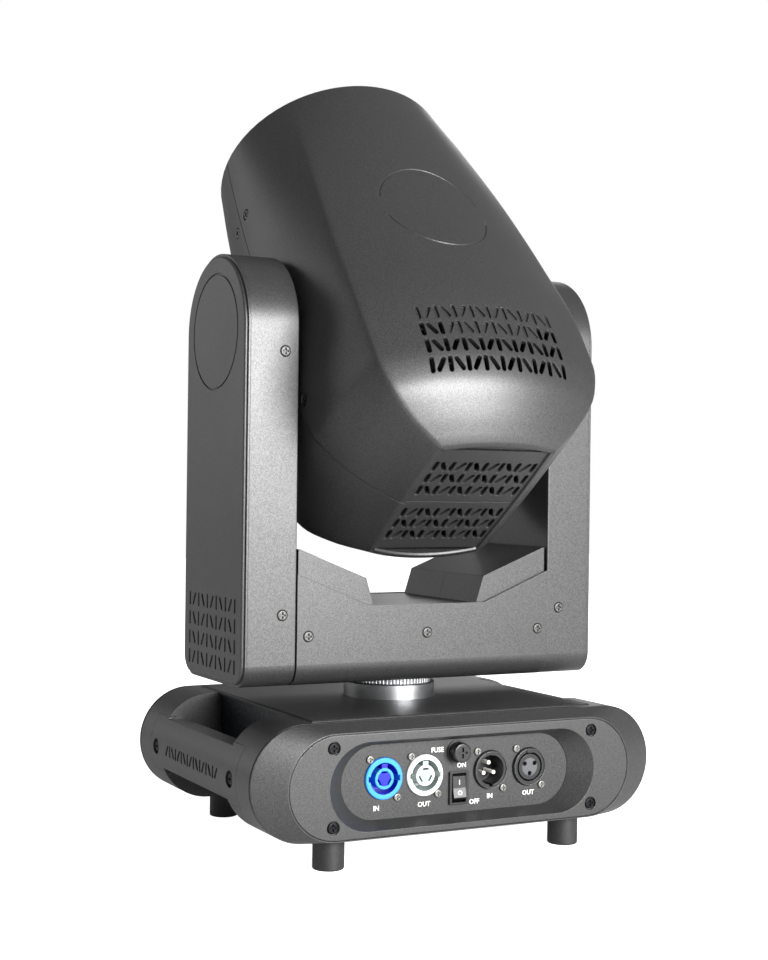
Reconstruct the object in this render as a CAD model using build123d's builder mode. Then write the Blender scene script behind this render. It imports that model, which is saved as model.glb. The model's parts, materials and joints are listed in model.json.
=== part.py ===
from build123d import *
import os
from math import cos, pi, radians, sin, sqrt, tan

# Moving head light: base, panning yoke and tilting head. Millimetres, +Z up.
# The origin is on the pan axis, in the plane of the base's underside. The sockets face -Y.

os.makedirs("parts", exist_ok=True)

# ---------------------------------------------------------------- driving sizes
# clearances
fit_gap = 0.15  # between pieces of one body that slip together
running_gap = 0.05  # radial, a shaft turning in its hole
moving_gap = 0.4  # between pieces of different bodies
skin = 2.5  # moulded cover wall
sheet = 2.0  # sheet metal

# base
frame_half_width = 142.5
frame_height = 70.0
frame_front = 92.8  # y of the end frame's outer rim
frame_inner = 55.0  # y of the end frame's face towards the hand hold
cap_rim = 94.0  # y where the end cap's band starts
cap_band = 1.0
cap_slope = 7.5
groove_depth = 1.8
frame_wall = 6.0
chassis_half_width = 99.0
chassis_half_depth = 86.0
plate_half_width = 100.5
plate_half_depth = 89.0
plate_thickness = 2.5
plate_top = 71.0
chassis_height = plate_top - plate_thickness
bezel_half_width = 121.0
bezel_height = 62.6
bezel_mid = 32.6  # z of the bezel's middle
bezel_thickness = 3.0
recess_half_width = 94.5
recess_height = 53.4
recess_floor_half_width = 81.5
recess_floor_height = 45.4
recess_mid = 31.8
recess_depth = 11.6
panel_thickness = 2.0
bezel_screw_x = 92.1
bezel_screw_z = 23.4  # above and below the bezel's middle
bezel_counterbore_radius = 4.2
bezel_counterbore_depth = 1.6
foot_radius = 9.75
foot_height = 19.5
foot_x = 85.0
foot_y = 82.0
bracket_x = 106.0  # spacing of the clamp bracket holes
bracket_y = 90.0
bracket_hole_radius = 6.5

# handles
handle_thickness = 3.2
handle_grip = 9.0  # radial depth of the bar where the hand goes
handle_bar_low = 21.5
handle_bar_high = 53.8
handle_tab_low = 19.0
handle_tab_high = 55.6
handle_tab_end = 73.0
handle_hole_y = 63.0
handle_hole_radius = 5.2
handle_slots = 17
handle_slot_pitch = 5.3
handle_slot_height = 8.0

# sockets, centred on the socket line
socket_z = 33.8
power_in_x = -52.8
power_out_x = -24.2
data_in_x = 23.3
data_out_x = 52.1
power_ring_radius = 12.7
data_ring_radius = 12.0
socket_screw_x = 9.5
socket_screw_z = 12.0
socket_proud = 1.6
socket_depth = 24.0
fuse_x = -1.4
fuse_z = 46.9
fuse_radius = 6.2
fuse_proud = 8.0
switch_x = 0.0
switch_z = 24.3
switch_half_width = 6.7
switch_half_height = 10.3
switch_proud = 1.6
rocker_tilt_range = 16.0

# display side
window_half_width = 31.0
window_half_height = 12.0
window_x = -30.0
button_radius = 4.5
button_pitch = 15.0
button_first_x = 21.0
button_proud = 2.2

# pan drive
ring_radius = 30.5
ring_top = 81.0
pan_teeth = 72
pan_tooth_depth = 1.0
pan_belt_low = 91.0
belt_width = 6.0
pan_shaft_radius = 20.0
cable_bore_radius = 14.0
pulley_teeth = 18
pulley_radius = 7.0
pan_tooth_radius = pulley_radius * pan_teeth / pulley_teeth
belt_thickness = 1.4
pan_motor_x = 58.0

# yoke
arm_outer = 129.2
arm_inner = 93.1
arm_half_depth = 49.5
yoke_bottom = 85.5
tilt_height = 307.9
arm_corner = 14.0
cover_thickness = 3.4
cover_margin = 1.8
cover_ring_radius = 36.6
cover_screw_x = 102.5
cover_screw_heights = (130.5, 293.5)
bridge_half_width = 91.4
bridge_half_depth = 50.6
bridge_plate_top = 135.6
bridge_plate_shoulder = 156.0
bridge_plate_step_x = 43.0
shoulder_setback = 1.6
shoulder_low = 152.6
shoulder_high = 171.5
shoulder_step_x = 43.6
bridge_deck = 135.0
deck_half_width = 38.0
bridge_screw_x = 85.0
bridge_screw_z = 117.0
arm_slot_columns = 11
arm_slot_pitch = 7.5
arm_slot_height = 9.2
arm_slot_row_pitch = 12.6
arm_slot_lowest = 98.2

# head
head_tilt = 36.5  # lean of the light axis from upright
head_front = 161.0
head_rear = -138.5
seam_rise = 8.3  # height of the seam at the rear; it falls to nothing at the front
trunnion_radius = 18.0
trunnion_bore_radius = 11.0
trunnion_end = 107.0
tilt_pulley_teeth = 72
tilt_pulley_radius = pulley_radius * tilt_pulley_teeth / pulley_teeth
tilt_belt_x = 101.9
tilt_motor_drop = 120.0
front_ring_depth = 11.0
front_ring_floor = 2.0
lens_radius = 77.0
lens_crown = 9.0
slot_width = 2.4
slot_lean = 30.0
cage_half_width = 66.0
cage_half_height = 42.0
cage_window = 40.0
cage_rear = -96.0
rod_x = 46.0
rod_radius = 3.0
wheel_radius = 33.0
wheel_offset = 23.0
fan_radius = 34.0
fan_hub_radius = 13.0
fan_tip_gap = 0.5
fan_blades = 7
fan_blade_chord = 11.0
fan_blade_thickness = 1.2
fan_blade_pitch = 35.0

# small pieces of the socket panel
bezel_land = 0.8
cap_window_margin = 7.0
bowl_wall = 1.8
bowl_margin = 2.6
cap_spigot = 5.0
case_screw_radius = 1.5
case_screw_head = 3.5
handle_hole_depth = 2.2
engraving_depth = 0.8
foot_stud_radius = 2.5
panel_screw_radius = 1.4
panel_screw_head = 2.5
flange_width = 26.0
flange_height = 31.0
flange_thickness = 3.0
power_channel_radius = 9.6
power_core_radius = 6.4
power_key_width = 4.0
power_channel_depth = 15.0
data_well_radius = 9.2
data_well_depth = 14.0
data_insert_radius = 8.2
data_pin_circle = 4.2
data_pin_radius = 1.2
fuse_body_radius = 5.6
fuse_flange_radius = 7.0
fuse_body_depth = 26.0
fuse_stem_radius = 3.6
fuse_stem_depth = 22.0
switch_lip = 0.9
switch_body_depth = 17.0
rocker_half_width = 4.6
rocker_radius = 8.6
rocker_pivot_depth = 3.0

# display side and what is inside the base
button_names = ("button_menu", "button_down", "button_up", "button_enter")
supply_x = -45.0
supply_width = 84.0
supply_depth = 100.0
supply_height = 34.0
pan_shaft_top = 116.0

# yoke details
bridge_sheet = 2.5
frame_flange = 18.0
bridge_frame_half_depth = 40.0
bridge_cover_wall = 2.2
cover_half_width = 92.8
shell_skirt = 120.0
ring_hole_gap = 3.0
cover_screw_head = 3.4
cover_screw_sink = 0.9
pan_bearing_radius = 31.0
pan_bearing_width = 10.0
tilt_bearing_radius = 25.0
tilt_bearing_width = 4.5
motor_size = 42.0
motor_shaft_radius = 2.5
pan_motor_length = 24.0
pan_pulley_drop = 2.8
pan_pulley_shaft = 20.0
tilt_pulley_shaft = 12.0

# head form, from the mouth to the rear:
# place along the light axis, corner x, corner height, top, side, underside corner, underside
head_sections = (
    (head_front, 58.7, 58.7, 83.0, 83.0, 58.7, 83.0),
    (127.0, 62.2, 66.4, 86.0, 86.2, 62.0, 84.5),
    (55.0, 71.0, 76.4, 91.0, 89.8, 66.0, 85.5),
    (-4.0, 76.0, 82.0, 96.5, 91.0, 68.5, 86.0),
    (-54.0, 78.4, 86.0, 101.0, 91.0, 70.0, 86.0),
    (-87.0, 77.8, 85.1, 99.5, 87.5, 68.5, 83.0),
    (-107.0, 73.0, 81.0, 94.0, 77.0, 64.0, 77.5),
    (-125.0, 59.4, 72.0, 82.0, 61.0, 55.0, 66.0),
    (head_rear, 42.0, 64.5, 70.0, 43.5, 46.0, 54.0),
)
front_ring_ledge = 3.0
front_ring_proud = 1.2
lens_edge = 4.0
head_screw_stations = ((99.0, 86.0), (-66.0, 88.0))  # along the light axis, x under the head
head_screw_offset = 9.0
cage_mid = 8.0
wheel_plate = -32.0
wheel_axle_radius = 2.5
wheel_window_circle = 23.0
light_window = 16.0
fin_rear = -113.0
fin_depth = 26.0
fin_pitch = 8.0
fin_count = 9
fin_half_height = 40.0
fin_thickness = 1.6
sink_thickness = 8.0
reflector_radius = 24.0
reflector_mouth = 10.0
reflector_wall = 5.0
reflector_depth = 20.0
reflector_front = fin_rear + fin_depth + 30.0
fan_rear = -128.0
fan_depth = 15.0
focus_rear = 24.0
focus_lens_radius = 26.0

# ---------------------------------------------------------------- planes
lean_sin = sin(radians(head_tilt))
lean_cos = cos(radians(head_tilt))
head_plane = Plane(origin=(0, 0, tilt_height), x_dir=(1, 0, 0), z_dir=(0, lean_sin, lean_cos))


def head_point(x, v, w):
    """Point of the head: x across, v towards its top face, w along the light axis."""
    return (x, lean_sin * w - lean_cos * v, tilt_height + lean_cos * w + lean_sin * v)


def across(w):
    """Plane across the light axis. Its x is +X, its y points to the head's underside."""
    return head_plane.offset(w)


def beside_head(x, v, w, outward):
    """Plane beside the head, facing along X away from it."""
    facing = (outward, 0, 0)
    return Plane(origin=head_point(x, v, w), x_dir=(0, lean_sin, lean_cos), z_dir=facing)


def facing_out(side, y):
    """Vertical plane at distance y from the pan axis, facing away from it. side is -1 in front."""
    return Plane(origin=(0, side * y, 0), x_dir=(-side, 0, 0), z_dir=(0, side, 0))


def facing_side(side, x):
    """Vertical plane at distance x from the pan axis, facing out along X. Its y is +Z."""
    return Plane(origin=(side * x, 0, 0), x_dir=(0, side, 0), z_dir=(side, 0, 0))


def save(part, name):
    part.label = name
    export_step(part, f"parts/{name}.step")


# ---------------------------------------------------------------- shared shapes
def draw_stadium(half_width, height, mid):
    with Locations((0, mid)):
        SlotOverall(2 * half_width, height)


def draw_slot_rows(columns, pitch, rows, height, first, chosen=None):
    """Rows of slots: every second one upright, the others leaning right and left in turn."""
    for number, level in enumerate(rows):
        for column in chosen or range(columns):
            turn = (column + first[number]) % 4
            lean = {0: 0.0, 1: -slot_lean, 2: 0.0, 3: slot_lean}[turn]
            across_x = (column - (columns - 1) / 2) * pitch
            with Locations((across_x, level)):
                SlotOverall(height, slot_width, rotation=90 + lean)


def draw_pulley(outer, depth, teeth, bore):
    """Belt pulley: a disc with round grooves about as wide as the teeth between them."""
    Circle(outer)
    with PolarLocations(outer, teeth):
        Circle(depth, mode=Mode.SUBTRACT)
    Circle(bore, mode=Mode.SUBTRACT)


def draw_belt(centres, radii, gap, thickness):
    """Closed belt round two pulleys on the sketch's x axis."""
    outer = [radius + gap + thickness for radius in radii]
    inner = [radius + gap for radius in radii]
    for reach, mode in ((outer, Mode.ADD), (inner, Mode.SUBTRACT)):
        span = centres[1] - centres[0]
        slant = (reach[0] - reach[1]) / span
        rise = sqrt(1 - slant**2)
        with BuildLine() as outline:
            Polyline(
                (centres[0] + reach[0] * slant, reach[0] * rise),
                (centres[1] + reach[1] * slant, reach[1] * rise),
                (centres[1] + reach[1] * slant, -reach[1] * rise),
                (centres[0] + reach[0] * slant, -reach[0] * rise),
                close=True,
            )
        make_face(outline.edges(), mode=mode)
        for centre, radius in zip(centres, reach):
            with Locations((centre, 0)):
                Circle(radius, mode=mode)


def screw(place, head_radius, head_height, shank_radius, length):
    """Cross-recessed screw. place lies under its head and faces out of it."""
    with BuildPart() as body:
        with BuildSketch(place):
            Circle(head_radius)
        extrude(amount=head_height)
        crown = body.faces().sort_by(Axis(place.origin, place.z_dir))[-1]
        fillet(crown.edges(), head_height * 0.55)
        with BuildSketch(place.offset(head_height)):
            Rectangle(head_radius * 1.2, head_radius * 0.28)
            Rectangle(head_radius * 0.28, head_radius * 1.2)
        extrude(amount=-head_height * 0.7, mode=Mode.SUBTRACT)
        with BuildSketch(place):
            Circle(shank_radius)
        extrude(amount=-length)
    return body.part


def save_screws(places, head_radius, head_height, shank_radius, length, name):
    screws = [screw(place, head_radius, head_height, shank_radius, length) for place in places]
    save(Compound(children=screws), name)


def spot(plane, x, y):
    """The same plane with its origin moved to x, y on it."""
    return Plane(origin=plane.from_local_coords((x, y, 0)), x_dir=plane.x_dir, z_dir=plane.z_dir)


# ---------------------------------------------------------------- base
frame_radius = frame_height / 2
frame_centre_x = frame_half_width - frame_radius
cap_front = cap_rim + cap_band + cap_slope
panel_front = cap_front - recess_depth


def base_chassis():
    with BuildPart() as chassis:
        with BuildSketch(Plane.XY):
            Rectangle(2 * chassis_half_width, 2 * chassis_half_depth)
        extrude(amount=chassis_height)
        with BuildSketch(Plane.XY.offset(sheet)):
            Rectangle(2 * (chassis_half_width - sheet), 2 * chassis_half_depth)
        extrude(amount=chassis_height, mode=Mode.SUBTRACT)
        with BuildSketch(Plane.XY):
            with GridLocations(bracket_x, bracket_y, 2, 2):
                Circle(bracket_hole_radius)
            with GridLocations(2 * foot_x, 2 * foot_y, 2, 2):
                Circle(foot_stud_radius)
        extrude(amount=sheet, mode=Mode.SUBTRACT)
    save(chassis.part, "base_chassis")


def base_top_plate():
    with BuildPart() as plate:
        with BuildSketch(Plane.XY.offset(chassis_height)):
            Rectangle(2 * plate_half_width, 2 * plate_half_depth)
            Circle(cable_bore_radius, mode=Mode.SUBTRACT)
        extrude(amount=plate_thickness)
        rim = plate.faces().sort_by(Axis.Z)[-1].outer_wire().edges()
        chamfer(rim, plate_thickness * 0.35)
    save(plate.part, "base_top_plate")


def draw_end_band(side, low, high, thickness):
    """Slice of the stadium's round end between two heights, in a plane facing along Y."""
    with Locations((side * frame_centre_x, frame_radius)):
        Circle(frame_radius)
        Circle(frame_radius - thickness, mode=Mode.SUBTRACT)
    with Locations((side * (frame_centre_x + frame_radius), (low + high) / 2)):
        Rectangle(2 * frame_radius, high - low, mode=Mode.INTERSECT)


def end_frame(side, name):
    """Hoop with an end wall towards the hand holds. The chassis and top plate slide into it."""
    with BuildPart() as frame:
        with BuildSketch(facing_out(side, frame_inner)):
            draw_stadium(frame_half_width, frame_height, frame_radius)
        extrude(amount=frame_front - frame_inner)
        with BuildSketch(facing_out(side, frame_inner + skin)):
            draw_stadium(frame_half_width - frame_wall, frame_height - 2 * frame_wall, frame_radius)
        extrude(amount=frame_front - frame_inner, mode=Mode.SUBTRACT)
        with BuildSketch(facing_out(side, frame_inner)):
            with Locations((0, chassis_height / 2 - frame_wall)):
                Rectangle(2 * (chassis_half_width + fit_gap), chassis_height + 2 * frame_wall)
        extrude(amount=chassis_half_depth + fit_gap - frame_inner, mode=Mode.SUBTRACT)
        with BuildSketch(facing_out(side, frame_inner)):
            with Locations((0, plate_top)):
                Rectangle(2 * (plate_half_width + fit_gap), 2 * plate_thickness)
        extrude(amount=plate_half_depth + fit_gap - frame_inner, mode=Mode.SUBTRACT)
        for end in (-1, 1):
            with BuildSketch(facing_out(side, frame_inner)):
                low, high = handle_tab_low - fit_gap, handle_tab_high + fit_gap
                draw_end_band(end, low, high, handle_thickness + fit_gap)
            extrude(amount=handle_tab_end + fit_gap - frame_inner, mode=Mode.SUBTRACT)
            with BuildSketch(facing_side(end, frame_half_width)):
                with Locations((end * side * handle_hole_y, frame_radius)):
                    Circle(case_screw_radius + fit_gap)
            extrude(amount=-frame_wall - skin, mode=Mode.SUBTRACT)
    save(frame.part, name)


def end_cap(side, name):
    """Sloping rim in front of the end frame, open in the middle for the bezel."""
    with BuildPart() as cap:
        with BuildSketch(facing_out(side, cap_rim)):
            draw_stadium(frame_half_width, frame_height, frame_radius)
        extrude(amount=cap_band)
        with BuildSketch(facing_out(side, cap_rim + cap_band)):
            draw_stadium(frame_half_width, frame_height, frame_radius)
        with BuildSketch(facing_out(side, cap_front)):
            draw_stadium(bezel_half_width + bezel_land, bezel_height + 2 * bezel_land, bezel_mid)
        loft(ruled=True)
        with BuildSketch(facing_out(side, cap_rim)):
            draw_stadium(frame_half_width - groove_depth, frame_height - 2 * groove_depth, frame_radius)
        extrude(amount=frame_front - cap_rim)
        spigot = frame_wall + fit_gap
        with BuildSketch(facing_out(side, frame_front)):
            draw_stadium(frame_half_width - spigot, frame_height - 2 * spigot, frame_radius)
        extrude(amount=-cap_spigot)
        with BuildSketch(facing_out(side, cap_front)):
            draw_stadium(bezel_half_width + fit_gap, bezel_height + 2 * fit_gap, bezel_mid)
        extrude(amount=-bezel_thickness - fit_gap, mode=Mode.SUBTRACT)
        with BuildSketch(facing_out(side, cap_front)):
            draw_stadium(recess_half_width + cap_window_margin, recess_height + 2 * bowl_margin, recess_mid)
        extrude(amount=-cap_front, mode=Mode.SUBTRACT)
        with BuildSketch(facing_out(side, cap_front - bezel_thickness)):
            with GridLocations(2 * bezel_screw_x, 2 * bezel_screw_z, 2, 2):
                with Locations((0, bezel_mid)):
                    Circle(case_screw_radius + fit_gap)
        extrude(amount=-cap_front, mode=Mode.SUBTRACT)
    save(cap.part, name)


def draw_bezel_screws(radius):
    for x in (-bezel_screw_x, bezel_screw_x):
        for z in (bezel_mid - bezel_screw_z, bezel_mid + bezel_screw_z):
            with Locations((x, z)):
                Circle(radius)


def base_screws():
    """Screws of the sockets, of both bezels and of the handles' ends."""
    places = []
    for side in (-1, 1):
        seat = facing_out(side, cap_front - bezel_counterbore_depth)
        for x in (-bezel_screw_x, bezel_screw_x):
            for z in (bezel_mid - bezel_screw_z, bezel_mid + bezel_screw_z):
                places.append(spot(seat, x, z))
        pocket = facing_side(side, frame_half_width - handle_hole_depth)
        places += [spot(pocket, y, frame_radius) for y in (-handle_hole_y, handle_hole_y)]
    length = panel_thickness + flange_thickness + 3.0
    screws = [screw(place, case_screw_head, 1.5, case_screw_radius, 9.0) for place in places]
    for place in panel_screw_places():
        screws.append(screw(place, panel_screw_head, 1.4, panel_screw_radius, length))
    save(Compound(children=screws), "base_screws")


def bezel(side, name):
    """Flat plate with a dished recess that ends in an open window for the panel."""
    with BuildPart() as plate:
        with BuildSketch(facing_out(side, cap_front)):
            draw_stadium(bezel_half_width, bezel_height, bezel_mid)
        extrude(amount=-bezel_thickness)
        fillet(plate.faces().sort_by(Axis.Y)[-1 if side > 0 else 0].edges(), 0.6)
        with BuildSketch(facing_out(side, cap_front)):
            draw_stadium(recess_half_width + bowl_wall, recess_height + 2 * bowl_wall, recess_mid)
        with BuildSketch(facing_out(side, panel_front)):
            draw_stadium(recess_floor_half_width + bowl_wall, recess_floor_height + 2 * bowl_wall, recess_mid)
        loft(ruled=True)
        with BuildSketch(facing_out(side, cap_front)):
            draw_stadium(recess_half_width, recess_height, recess_mid)
        with BuildSketch(facing_out(side, panel_front)):
            draw_stadium(recess_floor_half_width, recess_floor_height, recess_mid)
        loft(ruled=True, mode=Mode.SUBTRACT)
        with BuildSketch(facing_out(side, cap_front)):
            draw_bezel_screws(bezel_counterbore_radius)
        extrude(amount=-bezel_counterbore_depth, mode=Mode.SUBTRACT)
        with BuildSketch(facing_out(side, cap_front)):
            draw_bezel_screws(case_screw_radius + fit_gap)
        extrude(amount=-bezel_thickness, mode=Mode.SUBTRACT)
    save(plate.part, name)


def side_handle(side, name):
    """Curved grip flush with the base's round ends, with a thin tab in each end frame."""
    with BuildPart() as handle:
        with BuildSketch(facing_out(-1, -frame_inner + fit_gap)):
            draw_end_band(side, handle_bar_low, handle_bar_high, handle_grip)
        extrude(amount=2 * (frame_inner - fit_gap))
        with BuildSketch(facing_out(-1, -handle_tab_end)):
            draw_end_band(side, handle_tab_low, handle_tab_high, handle_thickness)
        extrude(amount=2 * handle_tab_end)
        with BuildSketch(facing_out(-1, -frame_inner + fit_gap)):
            for low, high in ((0, handle_bar_low), (handle_bar_high, frame_height)):
                draw_end_strip(side, low, high)
        extrude(amount=2 * (frame_inner - fit_gap), mode=Mode.SUBTRACT)
        with BuildSketch(facing_side(side, frame_half_width)):
            for y in (-handle_hole_y, handle_hole_y):
                with Locations((y, frame_radius)):
                    Circle(handle_hole_radius)
        extrude(amount=-handle_hole_depth, mode=Mode.SUBTRACT)
        with BuildSketch(facing_side(side, frame_half_width)):
            for y in (-handle_hole_y, handle_hole_y):
                with Locations((y, frame_radius)):
                    Circle(case_screw_radius + fit_gap)
        extrude(amount=-frame_wall, mode=Mode.SUBTRACT)
        add(handle_engraving(side), mode=Mode.SUBTRACT)
    save(handle.part, name)


def draw_end_strip(side, low, high):
    with Locations((side * frame_half_width, (low + high) / 2)):
        Rectangle(2 * frame_radius, high - low)


def handle_engraving(side):
    """Row of shallow slots, as deep all over as the curved face they are cut in."""
    with BuildPart() as cutter:
        with BuildSketch(facing_side(side, frame_half_width)):
            draw_slot_rows(handle_slots, handle_slot_pitch, (frame_radius,), handle_slot_height, (1,))
        extrude(amount=-handle_slot_height)
        with BuildSketch(facing_out(-1, -frame_inner)):
            with Locations((side * frame_centre_x, frame_radius)):
                Circle(frame_radius - engraving_depth)
        extrude(amount=2 * frame_inner, mode=Mode.SUBTRACT)
    return cutter.part


def rubber_feet():
    with BuildPart() as feet:
        with BuildSketch(Plane.XY):
            with GridLocations(2 * foot_x, 2 * foot_y, 2, 2):
                Circle(foot_radius)
        extrude(amount=-foot_height)
        fillet(feet.faces().group_by(Axis.Z)[0].edges(), 1.2)
        with BuildSketch(Plane.XY):
            with GridLocations(2 * foot_x, 2 * foot_y, 2, 2):
                Circle(foot_stud_radius - fit_gap)
        extrude(amount=sheet)
    save(feet.part, "rubber_feet")


# ---------------------------------------------------------------- socket panel
front = facing_out(-1, panel_front)
socket_places = {
    "power_in_socket": (power_in_x, power_ring_radius),
    "power_out_socket": (power_out_x, power_ring_radius),
    "data_in_socket": (data_in_x, data_ring_radius),
    "data_out_socket": (data_out_x, data_ring_radius),
}


def draw_socket_screws(x, radius):
    with Locations((x - socket_screw_x, socket_z + socket_screw_z)):
        Circle(radius)
    with Locations((x + socket_screw_x, socket_z - socket_screw_z)):
        Circle(radius)


def connector_panel():
    with BuildPart() as panel:
        with BuildSketch(front):
            draw_stadium(
                recess_floor_half_width + bowl_wall,
                recess_floor_height + 2 * bowl_wall,
                recess_mid,
            )
            for x, radius in socket_places.values():
                with Locations((x, socket_z)):
                    Circle(radius + fit_gap, mode=Mode.SUBTRACT)
            with Locations((fuse_x, fuse_z)):
                Circle(fuse_body_radius + fit_gap, mode=Mode.SUBTRACT)
            with Locations((switch_x, switch_z)):
                half_width = switch_half_width - switch_lip
                half_height = switch_half_height - switch_lip
                Rectangle(2 * half_width, 2 * half_height, mode=Mode.SUBTRACT)
        extrude(amount=-panel_thickness)
        with BuildSketch(front):
            for x, _ in socket_places.values():
                draw_socket_screws(x, panel_screw_radius + fit_gap)
        extrude(amount=-panel_thickness, mode=Mode.SUBTRACT)
    save(panel.part, "connector_panel")


def socket_shell(x, radius):
    """Round barrel through the panel with a screwed flange behind it."""
    with BuildPart() as shell:
        with BuildSketch(front.offset(socket_proud)):
            with Locations((x, socket_z)):
                Circle(radius)
        extrude(amount=-socket_proud - socket_depth)
        rim = shell.faces().sort_by(Axis.Y)[0]
        chamfer(rim.edges(), 0.5)
        with BuildSketch(front.offset(-panel_thickness - fit_gap)):
            with Locations((x, socket_z)):
                RectangleRounded(flange_width, flange_height, 2.5)
            draw_socket_screws_cut(x)
        extrude(amount=-flange_thickness)
    return shell.part


def draw_socket_screws_cut(x):
    for side in (-1, 1):
        with Locations((x + side * socket_screw_x, socket_z - side * socket_screw_z)):
            Circle(panel_screw_radius + fit_gap, mode=Mode.SUBTRACT)


def power_socket(x, name):
    """Locking mains socket: a keyed ring channel round a core with three blade slots."""
    with BuildPart() as socket:
        add(socket_shell(x, power_ring_radius))
        with BuildSketch(front.offset(socket_proud)):
            with Locations((x, socket_z)):
                Circle(power_channel_radius)
                Circle(power_core_radius, mode=Mode.SUBTRACT)
            with Locations((x, socket_z + power_core_radius)):
                Rectangle(power_key_width, 5.0, mode=Mode.SUBTRACT)
            with Locations((x - power_channel_radius, socket_z), (x + power_channel_radius, socket_z)):
                Rectangle(2.4, 3.4)
        extrude(amount=-power_channel_depth, mode=Mode.SUBTRACT)
        with BuildSketch(front.offset(socket_proud)):
            with Locations((x, socket_z)):
                with PolarLocations(power_core_radius * 0.62, 3, start_angle=90):
                    Rectangle(1.2, 4.2)
        extrude(amount=-power_channel_depth * 0.8, mode=Mode.SUBTRACT)
    save(socket.part, name)


def data_in_socket():
    """Male data socket: an open well with three pins."""
    with BuildPart() as socket:
        add(socket_shell(data_in_x, data_ring_radius))
        with BuildSketch(front.offset(socket_proud)):
            with Locations((data_in_x, socket_z)):
                Circle(data_well_radius)
            with Locations((data_in_x, socket_z - data_well_radius)):
                Rectangle(2.6, 2.4)
        extrude(amount=-data_well_depth, mode=Mode.SUBTRACT)
        with BuildSketch(front.offset(socket_proud - data_well_depth)):
            with Locations((data_in_x, socket_z)):
                with PolarLocations(data_pin_circle, 3, start_angle=90):
                    Circle(data_pin_radius)
        extrude(amount=data_well_depth - 3.0)
    save(socket.part, "data_in_socket")


def data_out_socket():
    """Female data socket: a narrow channel round an insert with three holes and a latch."""
    with BuildPart() as socket:
        add(socket_shell(data_out_x, data_ring_radius))
        with BuildSketch(front.offset(socket_proud)):
            with Locations((data_out_x, socket_z)):
                Circle(data_well_radius)
                Circle(data_insert_radius, mode=Mode.SUBTRACT)
        extrude(amount=-data_well_depth, mode=Mode.SUBTRACT)
        with BuildSketch(front.offset(socket_proud)):
            with Locations((data_out_x, socket_z)):
                with PolarLocations(data_pin_circle, 3, start_angle=-90):
                    Circle(data_pin_radius + 0.25)
        extrude(amount=-data_well_depth, mode=Mode.SUBTRACT)
        with BuildSketch(front.offset(socket_proud)):
            with Locations((data_out_x, socket_z + data_well_radius + 1.0)):
                RectangleRounded(5.0, 2.6, 0.8)
        extrude(amount=0.7)
    save(socket.part, "data_out_socket")


def panel_screw_places():
    spots = []
    for x, _ in socket_places.values():
        spots.append((x - socket_screw_x, socket_z + socket_screw_z))
        spots.append((x + socket_screw_x, socket_z - socket_screw_z))
    return [spot(front, x, z) for x, z in spots]


def fuse_holder():
    with BuildPart() as holder:
        with BuildSketch(front):
            with Locations((fuse_x, fuse_z)):
                Circle(fuse_body_radius)
        extrude(amount=-fuse_body_depth)
        with BuildSketch(front):
            with Locations((fuse_x, fuse_z)):
                Circle(fuse_flange_radius)
        extrude(amount=1.2)
        with BuildSketch(front.offset(1.2)):
            with Locations((fuse_x, fuse_z)):
                Circle(fuse_stem_radius + running_gap)
        extrude(amount=-fuse_stem_depth - 1.6, mode=Mode.SUBTRACT)
    save(holder.part, "fuse_holder")


def fuse_cap():
    """Turned cap with a cross slot; its stem holds the fuse in the holder."""
    with BuildPart() as cap:
        with BuildSketch(front.offset(1.2 + moving_gap)):
            with Locations((fuse_x, fuse_z)):
                Circle(fuse_radius)
        extrude(amount=fuse_proud - 1.2 - moving_gap)
        face = cap.faces().sort_by(Axis.Y)[0]
        fillet(face.edges(), 1.2)
        with BuildSketch(front.offset(fuse_proud)):
            with Locations((fuse_x, fuse_z)):
                Rectangle(6.6, 1.3)
                Rectangle(1.3, 6.6)
        extrude(amount=-1.4, mode=Mode.SUBTRACT)
        with BuildSketch(front.offset(fuse_proud)):
            with Locations((fuse_x, fuse_z)):
                with PolarLocations(fuse_radius + 0.25, 24):
                    Circle(0.5)
        extrude(amount=1.2 + moving_gap - fuse_proud, mode=Mode.SUBTRACT)
        with BuildSketch(front.offset(1.2 + moving_gap)):
            with Locations((fuse_x, fuse_z)):
                Circle(fuse_stem_radius)
        extrude(amount=-fuse_stem_depth)
    save(cap.part, "fuse_cap")


def switch_frame():
    with BuildPart() as frame:
        with BuildSketch(front):
            with Locations((switch_x, switch_z)):
                RectangleRounded(2 * switch_half_width, 2 * switch_half_height, 0.8)
        extrude(amount=switch_proud)
        with BuildSketch(front):
            with Locations((switch_x, switch_z)):
                half_width = switch_half_width - switch_lip - fit_gap
                half_height = switch_half_height - switch_lip - fit_gap
                Rectangle(2 * half_width, 2 * half_height)
        extrude(amount=-switch_body_depth)
        with BuildSketch(front.offset(switch_proud)):
            with Locations((switch_x, switch_z)):
                Rectangle(2 * (rocker_half_width + moving_gap), 2 * (rocker_radius + moving_gap))
        extrude(amount=-switch_proud - rocker_pivot_depth - rocker_radius - 0.6, mode=Mode.SUBTRACT)
    save(frame.part, "switch_frame")


def power_rocker():
    """Rocker cut from a cylinder about its pivot, with two flats that meet in a shallow vee."""
    pivot_y = -panel_front + rocker_pivot_depth
    with BuildPart() as rocker:
        flank = (switch_x - rocker_half_width, pivot_y, switch_z)
        with BuildSketch(Plane(origin=flank, x_dir=(0, 1, 0), z_dir=(1, 0, 0))):
            with BuildLine() as outline:
                rise = rocker_pivot_depth + switch_proud
                lean = tan(radians(rocker_tilt_range / 2))
                high = rise + 2 * rocker_radius * lean
                Polyline(
                    (-rise, rocker_radius),
                    (-rise - rocker_radius * lean * 0.35, 0),
                    (-high, -rocker_radius),
                    (rocker_radius * 0.4, -rocker_radius),
                    (rocker_radius * 0.4, rocker_radius),
                    close=True,
                )
            make_face(outline.edges())
            Circle(rocker_radius, mode=Mode.INTERSECT)
        extrude(amount=2 * rocker_half_width)
    save(rocker.part, "power_rocker")


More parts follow.
